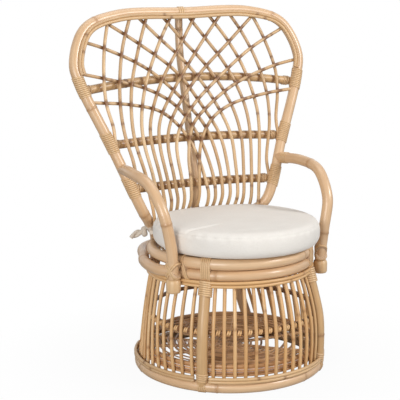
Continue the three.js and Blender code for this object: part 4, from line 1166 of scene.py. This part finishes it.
def drawTie(sign):
    rear = pointAt(hoopPath, onSide(sign, hoopShare(tie["height"])))
    rim = polar(tie["rim"], sign * math.radians(tie["rimAngle"]), tie["height"])
    rim[1] -= pad["forward"]
    inward = (rim - rear) * (1, 1, 0)
    inward /= np.linalg.norm(inward)
    outward = np.array([-inward[1], inward[0], 0]) * sign
    loop = hoopPiece(sign, tie["height"], tie["width"])
    places, swell = np.array(tie["loopShape"]).T
    parts = [sweepCane(pointsAt(loop, places * travelled(loop)[-1]),
                       poleRadius + tie["wrap"] * swell, tie["loopBevel"])]
    knotPlace = rear + outward * (poleRadius + tie["knot"] / 3) - (0, 0, tie["below"])
    halfWay = (rear + rim) / 2 - (0, 0, tie["strapSag"])
    strapLine = bend([rear - outward * tie["strapIn"], halfWay, rim + inward * tie["strapOver"]])
    lines = [(strapLine, tie["strap"])]
    run = np.linspace(0, 1, tie["tailSteps"])[:, None]
    for way in (0, math.pi):
        middle = knotPlace + outward * tie["reach"] * run - run ** tie["tailCurve"] * (0, 0, tie["drop"])
        spin = run * tie["twist"] + way
        lines.append((middle + tie["tail"] * (np.cos(spin) * (0, 0, 1) + np.sin(spin) * inward), tie["tail"]))
    for path, radius in lines:
        places = np.linspace(0, travelled(path)[-1], tie["rings"])
        wave = np.sin(places * tie["waves"] + draw.uniform(0, tie["waveShift"]))
        parts.append(sweepCane(pointsAt(path, places), radius * (1 + tie["uneven"] * wave), tie["bevel"]))
    turn = np.linspace(0, math.tau, tie["knotSteps"])[:, None]
    for tip in tie["tips"]:
        circle = np.cos(turn) * (0, math.sin(tip), math.cos(tip)) + np.sin(turn) * inward
        parts.append(sweepCane(knotPlace + tie["knot"] * tie["knotReach"] * circle,
                               np.full(len(turn), tie["knot"] * tie["knotThick"]), tie["bevel"]))
    for part in parts:
        select([part])
        closeEnds(part, tie["smooth"])
    piece = joined(parts)
    setAttribute(piece, "cloth", readPoints(piece))
    return piece


for side, sign in sides:
    dress(drawTie(sign), "tie", "tie_" + side)
print("ties knotted")


# Floor, backdrop and light

studio = {"floor": 0.50, "lift": 0.95, "fade": (0.3, 0.8), "world": 0.34,
          "size": 60, "roughness": 0.9, "aim": 0.5, "key": ((2.2, -2.6, 2.5), 0.7, 74),
          "fill": ((-2.8, -2.4, 1.2), 1.6, 72), "top": ((0.2, 0.2, 3.2), 1.8, 20)}

bpy.ops.object.select_all(action="DESELECT")
bpy.ops.mesh.primitive_plane_add(size=studio["size"], location=(0, 0, 0))
floor = bpy.context.object
floor.name = "floor"
floorFinish = bpy.data.materials.new("paleFloor")
floorFinish.use_nodes = True
tree = floorFinish.node_tree
surface = tree.nodes["Principled BSDF"]
surface.inputs["Base Color"].default_value = (studio["floor"], studio["floor"], studio["floor"], 1)
surface.inputs["Roughness"].default_value = studio["roughness"]
glow = addNode(tree, "Emission", {"Color": (1, 1, 1, 1), "Strength": 1.0})
rays = addNode(tree, "LightPath", {}).outputs
place = addNode(tree, "NewGeometry", {}).outputs["Position"]
away = addNode(tree, "VectorMath", {0: place}, operation="LENGTH").outputs["Value"]
fade = between(tree, away, *studio["fade"], studio["lift"], 1.0)
lift = times(tree, rays["Is Camera Ray"], fade)
mix = addNode(tree, "MixShader", {0: lift, 1: surface.outputs[0], 2: glow.outputs[0]})
tree.links.new(mix.outputs[0], tree.nodes["Material Output"].inputs["Surface"])
floor.data.materials.append(floorFinish)

world = bpy.data.worlds.new("studio")
bpy.context.scene.world = world
world.use_nodes = True
tree = world.node_tree
background = tree.nodes["Background"]
rays = addNode(tree, "LightPath", {}).outputs
seen = calculate(tree, "MAXIMUM", rays["Is Glossy Ray"], rays["Is Transmission Ray"])
seen = calculate(tree, "MAXIMUM", rays["Is Camera Ray"], seen)
background.inputs["Color"].default_value = (1, 1, 1, 1)
tree.links.new(between(tree, seen, 0.0, 1.0, studio["world"], 1.0), background.inputs["Strength"])

for name in ("key", "fill", "top"):
    place, size, power = studio[name]
    bpy.ops.object.light_add(type="AREA", location=place)
    lamp = bpy.context.object
    lamp.name = name + "Light"
    lamp.data.size = size
    lamp.data.energy = power
    lamp.rotation_euler = (Vector((0, 0, studio["aim"])) - Vector(place)).to_track_quat("-Z", "Y").to_euler()

bpy.context.scene.view_settings.view_transform = "Standard"
